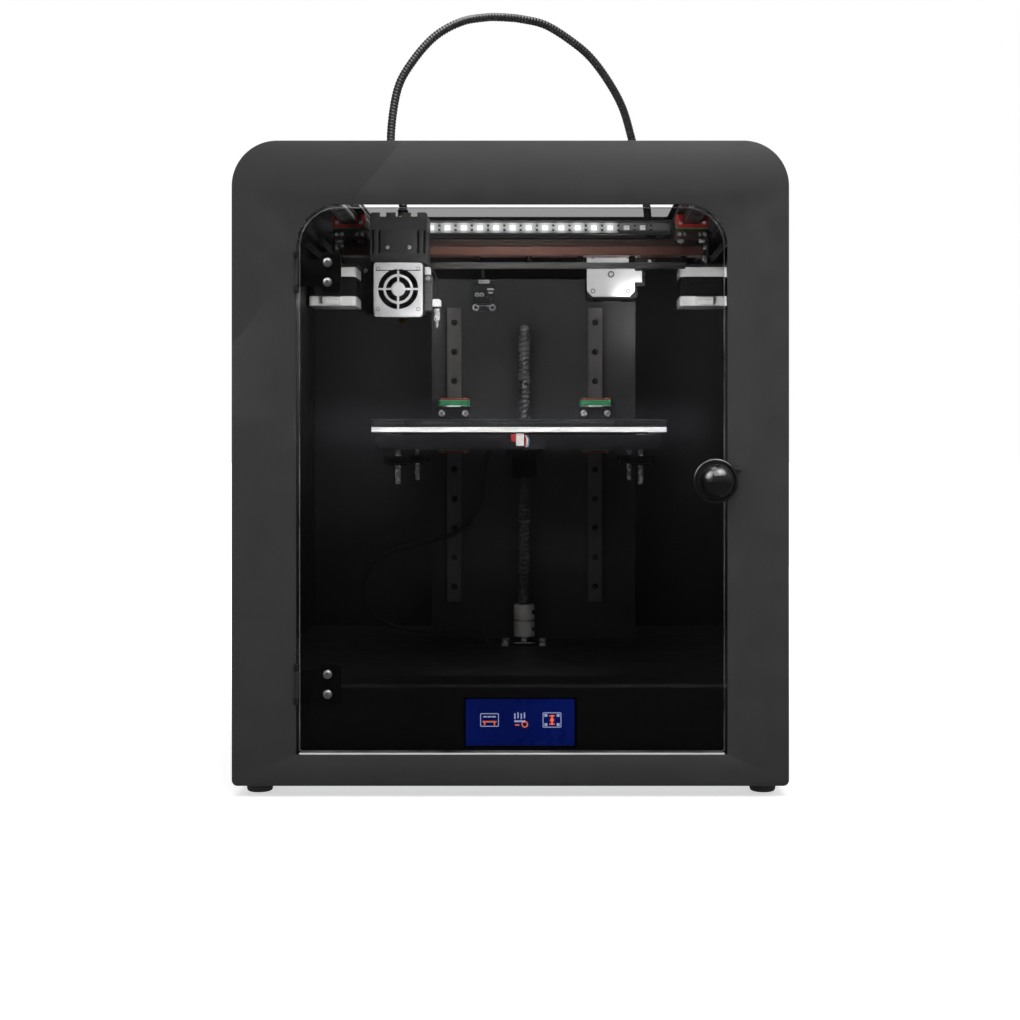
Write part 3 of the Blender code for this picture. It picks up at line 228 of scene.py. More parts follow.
def pipe(points, radius, sides=12, ripple=0.0, ripple_pitch=1.0):
    """A tube along points, with closed ends. A ripple winds around it as a spiral rib."""
    points = [Vector(p) for p in points]
    along = (points[1] - points[0]).normalized()
    across = along.orthogonal().normalized()
    rings, made, travelled = [], [], 0.0
    for i, point in enumerate(points):
        ahead = points[min(i + 1, len(points) - 1)] - points[max(i - 1, 0)]
        turn = along.rotation_difference(ahead.normalized())
        along, across = ahead.normalized(), (turn @ across).normalized()
        if i:
            travelled += (point - points[i - 1]).length
        ring = []
        for side in range(sides):
            angle = 2 * math.pi * side / sides
            phase = (travelled / ripple_pitch + side / sides) % 1
            reach = radius - ripple * (0.5 + 0.5 * math.cos(2 * math.pi * phase)) ** 2
            spoke = math.cos(angle) * across + math.sin(angle) * along.cross(across)
            ring.append(len(made))
            made.append(point + reach * spoke)
        rings.append(ring)
    faces = [[a[i], a[(i + 1) % sides], b[(i + 1) % sides], b[i]] for a, b in zip(rings, rings[1:])
             for i in range(sides)]
    return made, faces + [rings[0][::-1], rings[-1]]


def smooth_route(points, spacing):
    """Points a set distance apart on a smooth curve through the given ones."""
    points = [Vector(p) for p in points]
    ends = [2 * points[0] - points[1], *points, 2 * points[-1] - points[-2]]
    dense = []
    for a, b, c, d in zip(ends, ends[1:], ends[2:], ends[3:]):
        for i in range(40):
            t = i / 40
            dense.append(0.5 * (2 * b + (c - a) * t + (2 * a - 5 * b + 4 * c - d) * t * t
                                + (3 * b - a - 3 * c + d) * t ** 3))
    dense.append(points[-1])
    route, left = [dense[0]], spacing
    for start, end in zip(dense, dense[1:]):
        step = (end - start).length
        while step >= left > 0:
            start = start + (end - start) * (left / step)
            route.append(start)
            step -= left
            left = spacing
        left -= step
    if (route[-1] - dense[-1]).length < spacing / 2:
        route.pop()
    return [*route, dense[-1]]


def mesh_from(form, name="form"):
    mesh = bpy.data.meshes.new(name)
    mesh.from_pydata([tuple(p) for p in form[0]], [], form[1])
    return mesh


def outward(mesh):
    bm = bmesh.new()
    bm.from_mesh(mesh)
    bmesh.ops.recalc_face_normals(bm, faces=bm.faces[:])
    bm.to_mesh(mesh)
    bm.free()


def carved(form, *cutters):
    """A form with the cutters taken out of it."""
    items = []
    for shape in (form, *cutters):
        mesh = mesh_from(shape)
        outward(mesh)
        items.append(bpy.data.objects.new("form", mesh))
        scene.collection.objects.link(items[-1])
    for cutter in items[1:]:
        modifier = items[0].modifiers.new("cut", "BOOLEAN")
        modifier.operation = "DIFFERENCE"
        modifier.object = cutter
    depsgraph = bpy.context.evaluated_depsgraph_get()
    bm = bmesh.new()
    bm.from_object(items[0], depsgraph)
    result = taken(bm)
    for item in items:
        bpy.data.meshes.remove(item.data)
    return result


def piece(name, body, slot, *parts, stands_for=()):
    """One object made of (form, look) parts, which rides on a body and may stand for CAD nodes."""
    looks = list(dict.fromkeys(look for _, look in parts))
    form = joined(*(part for part, _ in parts))
    mesh = mesh_from(([p * MM for p in form[0]], form[1]), name)
    for look in looks:
        mesh.materials.append(look)
    mesh.polygons.foreach_set("material_index", [looks.index(look) for part, look in parts
                                                 for _ in part[1]])
    outward(mesh)
    mesh.shade_smooth()
    mesh.set_sharp_from_angle(angle=SHARP_ANGLE)
    item = bpy.data.objects.new(name, mesh)
    scene.collection.objects.link(item)
    if body:
        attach(item, body)
    if stands_for:
        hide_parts(*stands_for)
    return item


# ---------------------------------------------------------------- fasteners

def cap_screw(origin, axis, radius=2.7, height=2.6):
    """A socket head with a hexagon recess. The origin is under the head."""
    hexagon = radius * 0.5
    return turned([(0, 0), (radius, 0), (radius, height - 0.35), (radius - 0.35, height),
                   (hexagon, height, "hex"), (hexagon, height * 0.4, "hex"), (0, height * 0.35)],
                  origin, axis, 24)


def button_screw(origin, axis, radius=3.0, height=1.7):
    """A domed head with a hexagon recess. The origin is under the head."""
    hexagon = radius * 0.42
    dome = [(radius * math.sin(math.radians(a)), height * math.cos(math.radians(a)) ** 0.8)
            for a in (84, 72, 60, 48, 36)]
    return turned([(0, 0), (radius, 0), *dome, (hexagon, height * 0.94, "hex"),
                   (hexagon, height * 0.3, "hex"), (0, height * 0.25)], origin, axis, 24)


def cross_screw(origin, axis, radius=2.4, height=1.2):
    """A flat pan head with a raised rim."""
    return turned([(0, 0), (radius, 0), (radius, height * 0.6), (radius - 0.4, height),
                   (radius * 0.5, height), (radius * 0.35, height * 0.5), (0, height * 0.45)],
                  origin, axis, 20)


# ---------------------------------------------------------------- looks

NOISE_MIDDLE = (0.3, 0.7)                        # nearly all of a noise lies between these
MIX_COLOUR_INPUTS = (6, 7)
MIX_COLOUR_OUTPUT = 2


def add_node(tree, kind, **values):
    """A new node with the named sockets set. An underscore in a name stands for a space."""
    node = tree.nodes.new(kind)
    for socket, value in values.items():
        node.inputs[socket.replace("_", " ")].default_value = value
    return node


def node_of(look, kind):
    return next(node for node in look.node_tree.nodes if node.type == kind)


def noise(tree, vector, scale, detail=3.0):
    node = add_node(tree, "ShaderNodeTexNoise", Scale=scale, Detail=detail)
    tree.links.new(vector, node.inputs["Vector"])
    return node.outputs["Fac"]


def ranged(tree, value, low, high, source=NOISE_MIDDLE):
    node = add_node(tree, "ShaderNodeMapRange", From_Min=source[0], From_Max=source[1], To_Min=low,
                    To_Max=high)
    tree.links.new(value, node.inputs["Value"])
    return node.outputs["Result"]


def mixed(tree, factor, first, second):
    node = tree.nodes.new("ShaderNodeMix")
    node.data_type = "RGBA"
    tree.links.new(factor, node.inputs["Factor"])
    for socket, colour in zip(MIX_COLOUR_INPUTS, (first, second)):
        if isinstance(colour, tuple):
            node.inputs[socket].default_value = (*colour, 1)
        else:
            tree.links.new(colour, node.inputs[socket])
    return node.outputs[MIX_COLOUR_OUTPUT]


GRAIN_DEPTH = 0.0003


def make_look(name, colour, roughness, metallic=0.0, patches=(30, 0.12), polish=(60, 0.06),
              grain=(900, 0.08), stretch=(1, 1, 1), **sockets):
    """A surface whose colour, roughness and relief all vary a little, at the stated scales."""
    look = bpy.data.materials.new(name)
    look.use_nodes = True
    tree = look.node_tree
    shader = tree.nodes["Principled BSDF"]
    shader.inputs["Metallic"].default_value = metallic
    for socket, value in sockets.items():
        shader.inputs[socket.replace("_", " ")].default_value = value
    place = tree.nodes.new("ShaderNodeTexCoord")
    mapping = add_node(tree, "ShaderNodeMapping", Scale=stretch)
    tree.links.new(place.outputs["Object"], mapping.inputs["Vector"])
    vector = mapping.outputs["Vector"]
    scale, amount = patches
    factor = ranged(tree, noise(tree, vector, scale), 0, 1)
    dim = tuple(c * (1 - amount) for c in colour)
    bright = tuple(min(c * (1 + amount), 1) for c in colour)
    tree.links.new(mixed(tree, factor, dim, bright), shader.inputs["Base Color"])
    scale, amount = polish
    tree.links.new(ranged(tree, noise(tree, vector, scale), roughness - amount, roughness + amount),
                   shader.inputs["Roughness"])
    scale, strength = grain
    bump = add_node(tree, "ShaderNodeBump", Strength=strength, Distance=GRAIN_DEPTH)
    tree.links.new(noise(tree, vector, scale, 2), bump.inputs["Height"])
    tree.links.new(bump.outputs["Normal"], shader.inputs["Normal"])
    return look


POWDER_COAT = make_look("powder_coat", (0.0205, 0.0205, 0.0213), 0.5, grain=(1400, 0.25), patches=(9, 0.05))
INNER_COAT = make_look("inner_coat", (0.024, 0.024, 0.025), 0.45, grain=(1400, 0.3), patches=(12, 0.12))
SATIN_BLACK = make_look("satin_black", (0.014, 0.014, 0.015), 0.38, grain=(2200, 0.2), patches=(50, 0.2))
BLACK_METAL = make_look("black_metal", (0.02, 0.02, 0.021), 0.34, 0.6, grain=(1500, 0.2), patches=(80, 0.2))
GLOSSY_BLACK = make_look("glossy_black", (0.006, 0.006, 0.006), 0.09, polish=(70, 0.03), grain=(300, 0.02),
                         Coat_Weight=0.6)
RUBBER = make_look("rubber", (0.022, 0.022, 0.023), 0.75, grain=(1800, 0.5), patches=(60, 0.2))
STEEL = make_look("ground_steel", (0.46, 0.46, 0.47), 0.28, 1.0, grain=(260, 0.12), polish=(220, 0.1),
                  stretch=(1, 1, 12))
BRIGHT_STEEL = make_look("bright_steel", (0.72, 0.72, 0.73), 0.26, 0.6, grain=(600, 0.08), polish=(300, 0.06))
DARK_SCREW = make_look("dark_screw", (0.07, 0.07, 0.075), 0.3, 0.9, grain=(900, 0.15))
ALUMINIUM = make_look("machined_aluminium", (0.76, 0.76, 0.78), 0.33, 0.85, grain=(420, 0.14),
                      polish=(260, 0.1), stretch=(1, 9, 9))
SILVER_PAINT = make_look("silver_paint", (0.72, 0.72, 0.73), 0.4, 0.35, grain=(1600, 0.2), patches=(60, 0.05))
COPPER_BROWN = make_look("copper_brown", (0.128, 0.062, 0.049), 0.38, 0.3, grain=(1300, 0.1),
                         patches=(14, 0.06))
COPPER_DARK = make_look("copper_dark", (0.05, 0.034, 0.028), 0.42, 0.3, grain=(1300, 0.1), patches=(14, 0.06))
BRASS = make_look("brass", (0.72, 0.5, 0.18), 0.27, 1.0, grain=(700, 0.1))
SEAL_RED = make_look("seal_red", (0.32, 0.016, 0.015), 0.42, grain=(1200, 0.15), patches=(150, 0.2))
CAP_GREEN = make_look("cap_green", (0.008, 0.27, 0.09), 0.38, grain=(1200, 0.12), patches=(150, 0.15))
WHITE_PLASTIC = make_look("white_plastic", (0.75, 0.75, 0.73), 0.42, grain=(900, 0.1))
RED_PLASTIC = make_look("red_plastic", (0.5, 0.02, 0.015), 0.36, grain=(900, 0.1))
BLUE_PLASTIC = make_look("blue_plastic", (0.12, 0.26, 0.4), 0.4, grain=(900, 0.1))
RAIL_STEEL = make_look("rail_steel", (0.21, 0.205, 0.2), 0.42, 0.8, grain=(900, 0.06), polish=(200, 0.08))
SCREW_STEEL = make_look("screw_steel", (0.3, 0.3, 0.31), 0.24, 0.9, grain=(700, 0.08))
COUPLER_GREY = make_look("coupler_grey", (0.62, 0.59, 0.56), 0.4, 0.4, grain=(900, 0.12), patches=(90, 0.12))
DARK_CHANNEL = make_look("dark_channel", (0.09, 0.09, 0.092), 0.4, 0.6, grain=(700, 0.12),
                         stretch=(0.2, 1, 1))
CAST_WHITE = make_look("cast_aluminium", (0.82, 0.82, 0.81), 0.45, 0.15, grain=(800, 0.3), patches=(60, 0.08))
PLATE_TEXTURE = make_look("print_sheet", (0.02, 0.02, 0.021), 0.62, grain=(700, 0.5), patches=(120, 0.3))
GALVANISED = make_look("galvanised", (0.42, 0.43, 0.44), 0.4, 0.8, grain=(500, 0.1), patches=(110, 0.18))
FLANK_GREY = make_look("flank_grey", (0.06, 0.06, 0.062), 0.45, grain=(1200, 0.2), patches=(70, 0.1))
HEAD_BLACK = make_look("head_black", (0.032, 0.032, 0.033), 0.5, grain=(1500, 0.35), patches=(90, 0.12))
MARK_GREY = make_look("mark_grey", (0.42, 0.42, 0.41), 0.45, grain=(900, 0.1))
HINGE_BOLT = make_look("hinge_bolt", (0.3, 0.3, 0.31), 0.36, 0.9, grain=(900, 0.1))
DECK_COAT = make_look("deck_coat", (0.018, 0.018, 0.019), 0.5, grain=(1400, 0.3), patches=(12, 0.12))
BED_COAT = make_look("bed_coat", (0.007, 0.007, 0.0075), 0.42, grain=(1300, 0.25), patches=(40, 0.15))
WRAP_BLACK = make_look("wrap_black", (0.013, 0.013, 0.014), 0.32, grain=(900, 0.12), patches=(90, 0.2))
CABLE_BLACK = make_look("cable_black", (0.016, 0.016, 0.017), 0.48, grain=(1500, 0.3))


WAVE_SCALE = 0.314                               # of a wave texture whose bands lie one unit apart


def striped(name, colour, gap_colour, roughness, metallic, pitch, axis):
    """A stack of thin sheets: dark lines at a set pitch along one axis, in colour and in relief."""
    look = make_look(name, colour, roughness, metallic)
    tree = look.node_tree
    shader = tree.nodes["Principled BSDF"]
    wave = add_node(tree, "ShaderNodeTexWave", Scale=WAVE_SCALE / (pitch * MM))
    wave.bands_direction = axis
    wave.wave_profile = "SIN"
    tree.links.new(node_of(look, "MAPPING").outputs["Vector"], wave.inputs["Vector"])
    plain = shader.inputs["Base Color"].links[0].from_socket
    tree.links.new(mixed(tree, wave.outputs["Fac"], gap_colour, plain), shader.inputs["Base Color"])
    bump = node_of(look, "BUMP")
    bump.inputs["Strength"].default_value = 0.35
    tree.links.new(wave.outputs["Fac"], bump.inputs["Height"])
    return look


def circuit(name, board, track):
    """Solder mask with paler straight tracks under it."""
    look = make_look(name, board, 0.35, grain=(900, 0.1))
    tree = look.node_tree
    shader = tree.nodes["Principled BSDF"]
    bricks = add_node(tree, "ShaderNodeTexBrick", Scale=300, Mortar_Size=0.04, Color1=(*board, 1),
                      Color2=(*(c * 0.8 for c in board), 1), Mortar=(*track, 1))
    place = tree.nodes.new("ShaderNodeTexCoord")
    turn = add_node(tree, "ShaderNodeMapping", Rotation=(math.pi / 2, 0, 0))
    tree.links.new(place.outputs["Object"], turn.inputs["Vector"])
    tree.links.new(turn.outputs["Vector"], bricks.inputs["Vector"])
    tree.links.new(bricks.outputs["Color"], shader.inputs["Base Color"])
    return look


def glowing(name, colour, strength, scale=120, amount=0.12):
    """A surface that gives light, a little uneven as a real one is."""
    look = make_look(name, colour, 0.3)
    tree = look.node_tree
    shader = tree.nodes["Principled BSDF"]
    vector = node_of(look, "MAPPING").outputs["Vector"]
    shader.inputs["Emission Strength"].default_value = strength
    dim = tuple(c * (1 - amount) for c in colour)
    factor = ranged(tree, noise(tree, vector, scale), 0, 1)
    tree.links.new(mixed(tree, factor, dim, colour), shader.inputs["Emission Color"])
    return look


SHEET_STACK, SHEET_STACK_DEEP = (
    striped(name, (0.035, 0.035, 0.037), (0.008, 0.008, 0.008), 0.42, 0.5, 1.0, axis)
    for name, axis in (("motor_stack", "Z"), ("motor_stack_lying", "Y")))
CIRCUIT_BLACK = circuit("circuit_black", (0.012, 0.014, 0.014), (0.035, 0.04, 0.04))
CIRCUIT_GREEN = circuit("circuit_green", (0.012, 0.1, 0.045), (0.03, 0.2, 0.09))
LAMP_LIT = glowing("lamp_lit", (1.0, 1.0, 1.0), 1.7)
LAMP_BOARD = make_look("lamp_board", (0.16, 0.16, 0.16), 0.4, grain=(700, 0.08))
SCREEN_BLUE = glowing("screen_blue", (0.0006, 0.012, 0.2), 1.0, 30, 0.3)
ICON_WHITE = glowing("icon_white", (0.5, 0.56, 0.85), 1.6)
ICON_ORANGE = glowing("icon_orange", (0.9, 0.2, 0.09), 1.8)


def make_tinted_look():
    """Smoked acrylic that lets about a third of the light through both faces together."""
    look = make_look("smoked_acrylic", (0.001, 0.001, 0.0012), 0.05, polish=(6, 0.015), grain=(14, 0.012),
                     Alpha=0.45, IOR=1.49, Specular_IOR_Level=0.08)
    look.surface_render_method = "BLENDED"
    return look


TINTED = make_tinted_look()
# Painted highlight: the acrylic's cut edges are pale grey in bright and dark patches, standing in for light
# caught along them.
PAINTED_EDGE_GLINT = make_look("painted_edge_glint", (0.42, 0.42, 0.43), 0.2, patches=(26, 0.85), grain=(300, 0.1))


# ---------------------------------------------------------------- case

CASE_CORNER = 31.0
CASE_FOOT_CORNER = 4.0
SHEET = 1.5
TOP_OPENING_HALF = 133.0
TOP_OPENING_DEPTHS = (31.0, 372.0)               # behind the front face
UNDERSIDE_HALF = 168.0
WINDOW = (-146.0, 29.3, 148.0, 404.5)
WINDOW_CORNER = 28.6
HINGE_X = -145.0
BOLT_X = -124.6
HINGE_HEIGHTS = {"lower": 77.3, "upper": 358.2}
BOLT_OFFSETS = (-6.8, 6.8)
KNUCKLE_RADIUS = 1.3


def case_outline(inset=0.0):
    low, high = span("case_shell")
    lower, upper = max(CASE_FOOT_CORNER - inset, 0.6), CASE_CORNER - inset
    return rounded(low.x + inset, low.z + inset, high.x - inset, high.z - inset,
                   (lower, lower, upper, upper), 20)


def make_case():
    low, high = span("case_shell")
    shell = plate([case_outline(), case_outline(SHEET)], low.y, high.y, "front", 0.2)
    opening = plate([rounded(-TOP_OPENING_HALF, FRONT + TOP_OPENING_DEPTHS[0], TOP_OPENING_HALF,
                             FRONT + TOP_OPENING_DEPTHS[1], 3.0)], high.z - 5, high.z + 5, "top", 0.1)
    underside = block((-UNDERSIDE_HALF, FRONT + 20, low.z - 2),
                      (UNDERSIDE_HALF, high.y + 5, low.z + 2.5), 0)
    shell = carved(shell, opening, underside)
    item = piece("folded_case", "root", "dark_paint", (shell, POWDER_COAT), stands_for=["case_shell"])
    item.data.materials.append(INNER_COAT)
    centre = Vector((0, 0, (low.z + high.z) / 2)) * MM
    for face in item.data.polygons:
        toward_middle = face.normal.dot(centre - face.center) > 0 and abs(face.normal.y) < 0.5
        face.material_index = int(toward_middle)


def make_front_frame():
    left, bottom, right, top = WINDOW
    window = rounded(left, bottom, right, top, (1, 1, WINDOW_CORNER, WINDOW_CORNER), 20)
    face = plate([case_outline(), window], FRONT, span("front_frame")[1].y, "front", 0.7)
    knuckles = []
    for height in HINGE_HEIGHTS.values():
        for z in (height + 9.5, height - 14):
            knuckles.append(rod((HINGE_X, FRONT - 1.5, z), 4.5, KNUCKLE_RADIUS, steps=20))
            knuckles.append(block((left - 1.5, FRONT - 1.5, z), (HINGE_X + 0.3, FRONT + 2.5, z + 4.5), 0.2))
    piece("window_frame", "root", "dark_paint", (face, POWDER_COAT), (joined(*knuckles), BLACK_METAL),
          stands_for=["front_frame"])
    # Painted highlight: a pale silver strip along the window's bottom edge, where light from above catches
    # the sill.
    sill_highlight = block((left + 2, FRONT + 0.2, bottom + 0.05), (right - 2, FRONT + 2.8, bottom + 1.25), 0.4)
    piece("sill_highlight_strip", "root", "aluminium", (sill_highlight, SILVER_PAINT))


def make_rear():
    low, high = span("rear_panel")
    vents = [rounded(x - 9.5, z - 1.5, x + 9.5, z + 1.5, 1.4, 5) for x in (-120, -95, -70, -45)
             for z in (30, 38, 46, 54)]
    inlet = [rounded(106, 19, 134, 65, 1.0, 3)]
    panel = plate([case_outline(), *vents, *inlet], low.y, high.y, "front", 0.35)
    edge = 9.0
    places = [(x, z) for x in (low.x + edge, high.x - edge) for z in (24, 130, 236, 342)]
    places += [(x, high.z - edge) for x in (-140, 0, 140)] + [(0, low.z + edge)]
    screws = each(button_screw, [(x, high.y - 0.02, z) for x, z in places], BEHIND)
    piece("rear_cover", "root", "dark_paint", (panel, POWDER_COAT), (screws, DARK_SCREW),
          stands_for=["rear_panel"])


def make_feet():
    for node in ("foot_front_left", "foot_front_right", "foot_rear_left", "foot_rear_right"):
        low, high = span(node)
        radius = (high.x - low.x) / 2
        profile = [(0, high.z), (radius - 0.4, high.z), (radius, high.z - 0.5), (radius - 0.3, 4.4),
                   (radius - 0.3, 3.6), (radius, 2.8), (radius - 0.2, 1.2), (radius - 0.7, 0.4),
                   (radius - 1.5, 0.0), (4.2, 0.0), (4.2, 2.6), (0, 2.6)]
        centre = middle(node)
        screw = cap_screw((centre.x, centre.y, 2.5), (0, 0, -1), 3.0, 2.0)
        piece(f"{node}_pad", "root", "rubber", (turned(profile, (centre.x, centre.y, 0), steps=40), RUBBER),
              (screw, DARK_SCREW), stands_for=[node])


# ---------------------------------------------------------------- door

def make_door():
    low, high = span("door_panel")
    bolt_places = [(BOLT_X, height + offset) for height in HINGE_HEIGHTS.values()
                   for offset in BOLT_OFFSETS]
    panel = plate([rounded(low.x, low.z, high.x, high.z, (2, 2, 26.6, 26.6), 20),
                   *(circle(centre, 2.1) for centre in bolt_places)], low.y, high.y, "front", 0.45)
    item = piece("door_glass", "door", "smoked", (panel, TINTED), stands_for=["door_panel"])
    # The edge faces get the painted edge highlight, and the broad faces stay smoked.
    item.data.materials.append(PAINTED_EDGE_GLINT)
    for face in item.data.polygons:
        face.material_index = int(abs(face.normal.y) < 0.9)

    centre = middle("door_knob")
    dome = [(11.4 * math.sin(math.radians(a)), 13.2 + 10.8 * math.cos(math.radians(a)))
            for a in range(0, 91, 6)]
    rim = [(13.9 + 1.4 * math.cos(math.radians(a)), 3.4 + 1.4 * math.sin(math.radians(a)))
           for a in range(120, -61, -20)]
    knob = turned([*dome, (11.4, 7.4), (10.6, 4.9), (11.2, 4.0), (12.6, 3.9), *rim, (14.9, 1.0), (0, 1.0)],
                  (centre.x, low.y, centre.z), AHEAD, 64)
    washer = turned([(0, -0.9), (6.5, -0.9), (7, -0.4), (7, -0.1), (0, -0.1)],
                    (centre.x, high.y - 0.4, centre.z), AHEAD, 32)
    tab = block((centre.x + 13.5, low.y - 1.9, centre.z + 6.4),
                (centre.x + 17.6, low.y - 0.1, centre.z + 9.0), 0.5)
    piece("door_handle", "door", "gloss_black", (knob, GLOSSY_BLACK), (washer, BLACK_METAL),
          (tab, SATIN_BLACK), stands_for=["door_knob"])

    for end, height in HINGE_HEIGHTS.items():
        node = f"door_hinge_{end}"
        leaf_front, leaf_rear = high.y + 0.3, span(node)[1].y
        outline = [(HINGE_X - 0.3, height - 9.2), (-131, height - 9.2),
                   *rounded(-129, height - 14, -116, height + 14, (2, 3, 3, 2), 6),
                   (-131, height + 9.2), (HINGE_X - 0.3, height + 9.2)]
        leaf = plate([outline], leaf_front, leaf_rear, "front", 0.3)
        web = block((HINGE_X - 0.5, low.y - 2, height - 9.1),
                    (HINGE_X + 0.4, leaf_rear - 0.1, height + 9.1), 0.2)
        knuckle = rod((HINGE_X, low.y - 2, height - 9), 18, KNUCKLE_RADIUS, steps=20)
        heights = [height + offset for offset in BOLT_OFFSETS]
        bolts = each(button_screw, [(BOLT_X, low.y - 0.1, z) for z in heights], AHEAD, 3.2, 1.9)
        shanks = each(rod, [(BOLT_X, low.y, z) for z in heights], 6.4, 1.6, BEHIND)
        piece(f"{node}_leaf", "door", "black_steel", (joined(leaf, web, knuckle), SATIN_BLACK),
              (joined(bolts, shanks), HINGE_BOLT), stands_for=[node])


# ---------------------------------------------------------------- screen and electronics

def frame_outline(x, z, half_width, half_height, line):
    return [rounded(x - half_width, z - half_height, x + half_width, z + half_height, 0.8, 3),
            rounded(x - half_width + line, z - half_height + line, x + half_width - line,
                    z + half_height - line, 0.4, 3)]


def make_screen():
    low, high = span("display_module")
    margin = 5.0
    left, right = low.x + margin, high.x - margin
    bottom, top = low.z + margin, high.z - margin
    front = low.y
    back = block((low.x, front + 1.5, low.z), (high.x, high.y, high.z), 0.5)
    glass = plate([rounded(left, bottom, right, top, 1.0, 4)], front + 0.05, front + 2.4, "front", 0.3)
    bezel = plate([rounded(left - 0.5, bottom - 0.5, right + 0.5, top + 0.5, 1.2, 4),
                   rounded(left + 1.2, bottom + 1.2, right - 1.2, top - 1.2, 0.6, 4)],
                  front - 0.35, front + 0.4, "front", 0.15)
    piece("screen_glass", "root", "gloss_black", (glass, SCREEN_BLUE), (bezel, GLOSSY_BLACK),
          (back, SATIN_BLACK), stands_for=["display_module"])

    level = (bottom + top) / 2 + 1.6
    ink_front, ink_rear = front - 0.08, front + 0.12

    def ink(loops):
        return plate(loops, ink_front, ink_rear, "front", 0.03)

    def bar(x, z, half_width, half_height):
        return ink([rounded(x - half_width, z - half_height, x + half_width, z + half_height, 0.1, 2)])

    printer_x, hand_x, move_x = left + 17.5, (left + right) / 2 + 0.8, right - 16.6
    white = [ink(frame_outline(printer_x, level, 6.4, 4.6, 0.55)),
             *(bar(printer_x + x, level + 2.2, 1.3, 0.5) for x in (-3, 0, 3)),
             *(bar(hand_x + 2.2 * i, level + 2.6 + 0.6 * (i % 2), 0.45, 2.0) for i in (-2, -1, 0, 1)),
             bar(hand_x - 1.0, level - 0.9, 3.8, 0.6),
             ink(frame_outline(move_x, level, 6.4, 5.2, 0.55)),
             *(bar(move_x + x, level + z, 1.0, 1.0) for x, z in corners(4.2, 3.2))]
    orange = [bar(printer_x, level - 1.2, 4.8, 0.55), bar(printer_x - 3.4, level - 2.6, 0.5, 1.1),
              bar(printer_x + 3.4, level - 2.6, 0.5, 1.1),
              ink([circle((hand_x + 2.4, level - 3.0), 2.3), circle((hand_x + 2.4, level - 3.0), 1.4)]),
              bar(hand_x - 2.8, level - 3.4, 1.5, 0.5),
              bar(move_x, level, 0.5, 3.4),
              *(bar(move_x, level + z, 1.9, 0.5) for z in (2.8, -2.8)),
              ink([circle((move_x, level), 1.5, 12)])]
    piece("screen_icons", "root", "light_white", (joined(*white), ICON_WHITE), (joined(*orange), ICON_ORANGE))


def make_deck_details():
    deck_top = span("electronics_cover")[1].z
    axis = middle("ball_screw")
    ring = turned([(12.2, 0.02), (15.4, 0.02), (15.4, 1.0), (14.6, 1.6), (12.8, 1.6), (12.2, 1.0),
                   (12.2, 0.02)], (axis.x, axis.y, deck_top), steps=48)
    screws = each(cap_screw, [(axis.x + x, axis.y + y, deck_top) for x, y in corners(MOTOR_HOLE)], UP, 2.8,
                  3.0)
    piece("deck_motor_screws", "root", "steel", (screws, BRIGHT_STEEL), (ring, BLACK_METAL))
    edge_screws = each(button_screw, [(x, y, deck_top - 0.02) for x in (-176, 176)
                                      for y in (-165, 15, 195)], UP, 2.6, 1.4)
    lead_gland = turned([(3.0, 0.0), (5.6, 0.0), (5.6, 1.2), (4.2, 2.8), (3.0, 2.8), (3.0, 0.0)],
                        (-26, 75, deck_top), steps=24)
    piece("deck_screws", "root", "black_steel", (edge_screws, DARK_SCREW), (lead_gland, RUBBER))


def make_inlet():
    low, high = span("power_inlet")
    centre = (low.x + high.x) / 2
    panel_rear = span("rear_panel")[1].y
    socket = [rounded(centre - 10, 22, centre + 10, 40, (1, 1, 4, 4), 4)]
    well = [rounded(centre - 8.5, 44, centre + 8.5, 62, 0.6, 3)]
    flange = plate([rounded(low.x, low.z, high.x, high.z, 3, 6), *socket, *well], panel_rear + 0.3, high.y,
                   "front", 0.4)
    ears = joined(*(turned([(0, 0.02), (2.6, 0.02), (2.6, 0.5), (1.2, 1.1), (0, 1.1)],
                           (centre, high.y - 1.1, z), BEHIND, 20) for z in (18.2, 65.8)))
    walls = carved(block((centre - 13.5, low.y, low.z + 4.5),
                         (centre + 13.5, panel_rear + 0.5, high.z - 4.5), 0.3),
                   block((centre - 10, panel_rear - 18, 22), (centre + 10, panel_rear + 5, 40), 0),
                   block((centre - 8.5, panel_rear - 8, 44), (centre + 8.5, panel_rear + 5, 62), 0))
    pins = joined(*(block((centre + x - 1, panel_rear - 19, 42 + z - 2.5),
                          (centre + x + 1, panel_rear - 4, 42 + z + 2.5), 0.3)
                    for x, z in ((-5.5, -11), (0, -7.5), (5.5, -11))))
    piece("mains_inlet", "root", "black_plastic", (joined(flange, walls), SATIN_BLACK), (pins, BRIGHT_STEEL),
          (ears, DARK_SCREW), stands_for=["power_inlet"])


# ---------------------------------------------------------------- rails and carriages

RAIL_HALF = 6.0
RAIL_HEIGHT = 8.0
HOLE_PITCH = 25.0
CARRIAGE_HALF = 13.5
CARRIAGE_LENGTH = 45.4


def rail(length, half=RAIL_HALF, height=RAIL_HEIGHT, pitch=HOLE_PITCH):
    """A profile rail from (0, 0, 0) along y, its foot on z = 0: waisted sides, sunk holes, screws."""
    count = int(length // pitch)
    first = (length - (count - 1) * pitch) / 2
    holes = [(0, first + pitch * i) for i in range(count)]
    layers = ((0, 0.36 * height, half, 0.3 * half), (0.36 * height, 0.6 * height, half * 0.86, 0.3 * half),
              (0.6 * height, height, half, 0.52 * half))
    forms = []
    for low, high, half_width, radius in layers:
        outline = rounded(-half_width, 0, half_width, length, 0.3, 2)
        forms.append(plate([outline, *(circle(hole, radius, 20) for hole in holes)], low, high, "top", 0.25))
    screws = each(cap_screw, [(x, y, 0.3 * height) for x, y in holes], UP, half * 0.44, 0.38 * height)
    return joined(*forms), screws


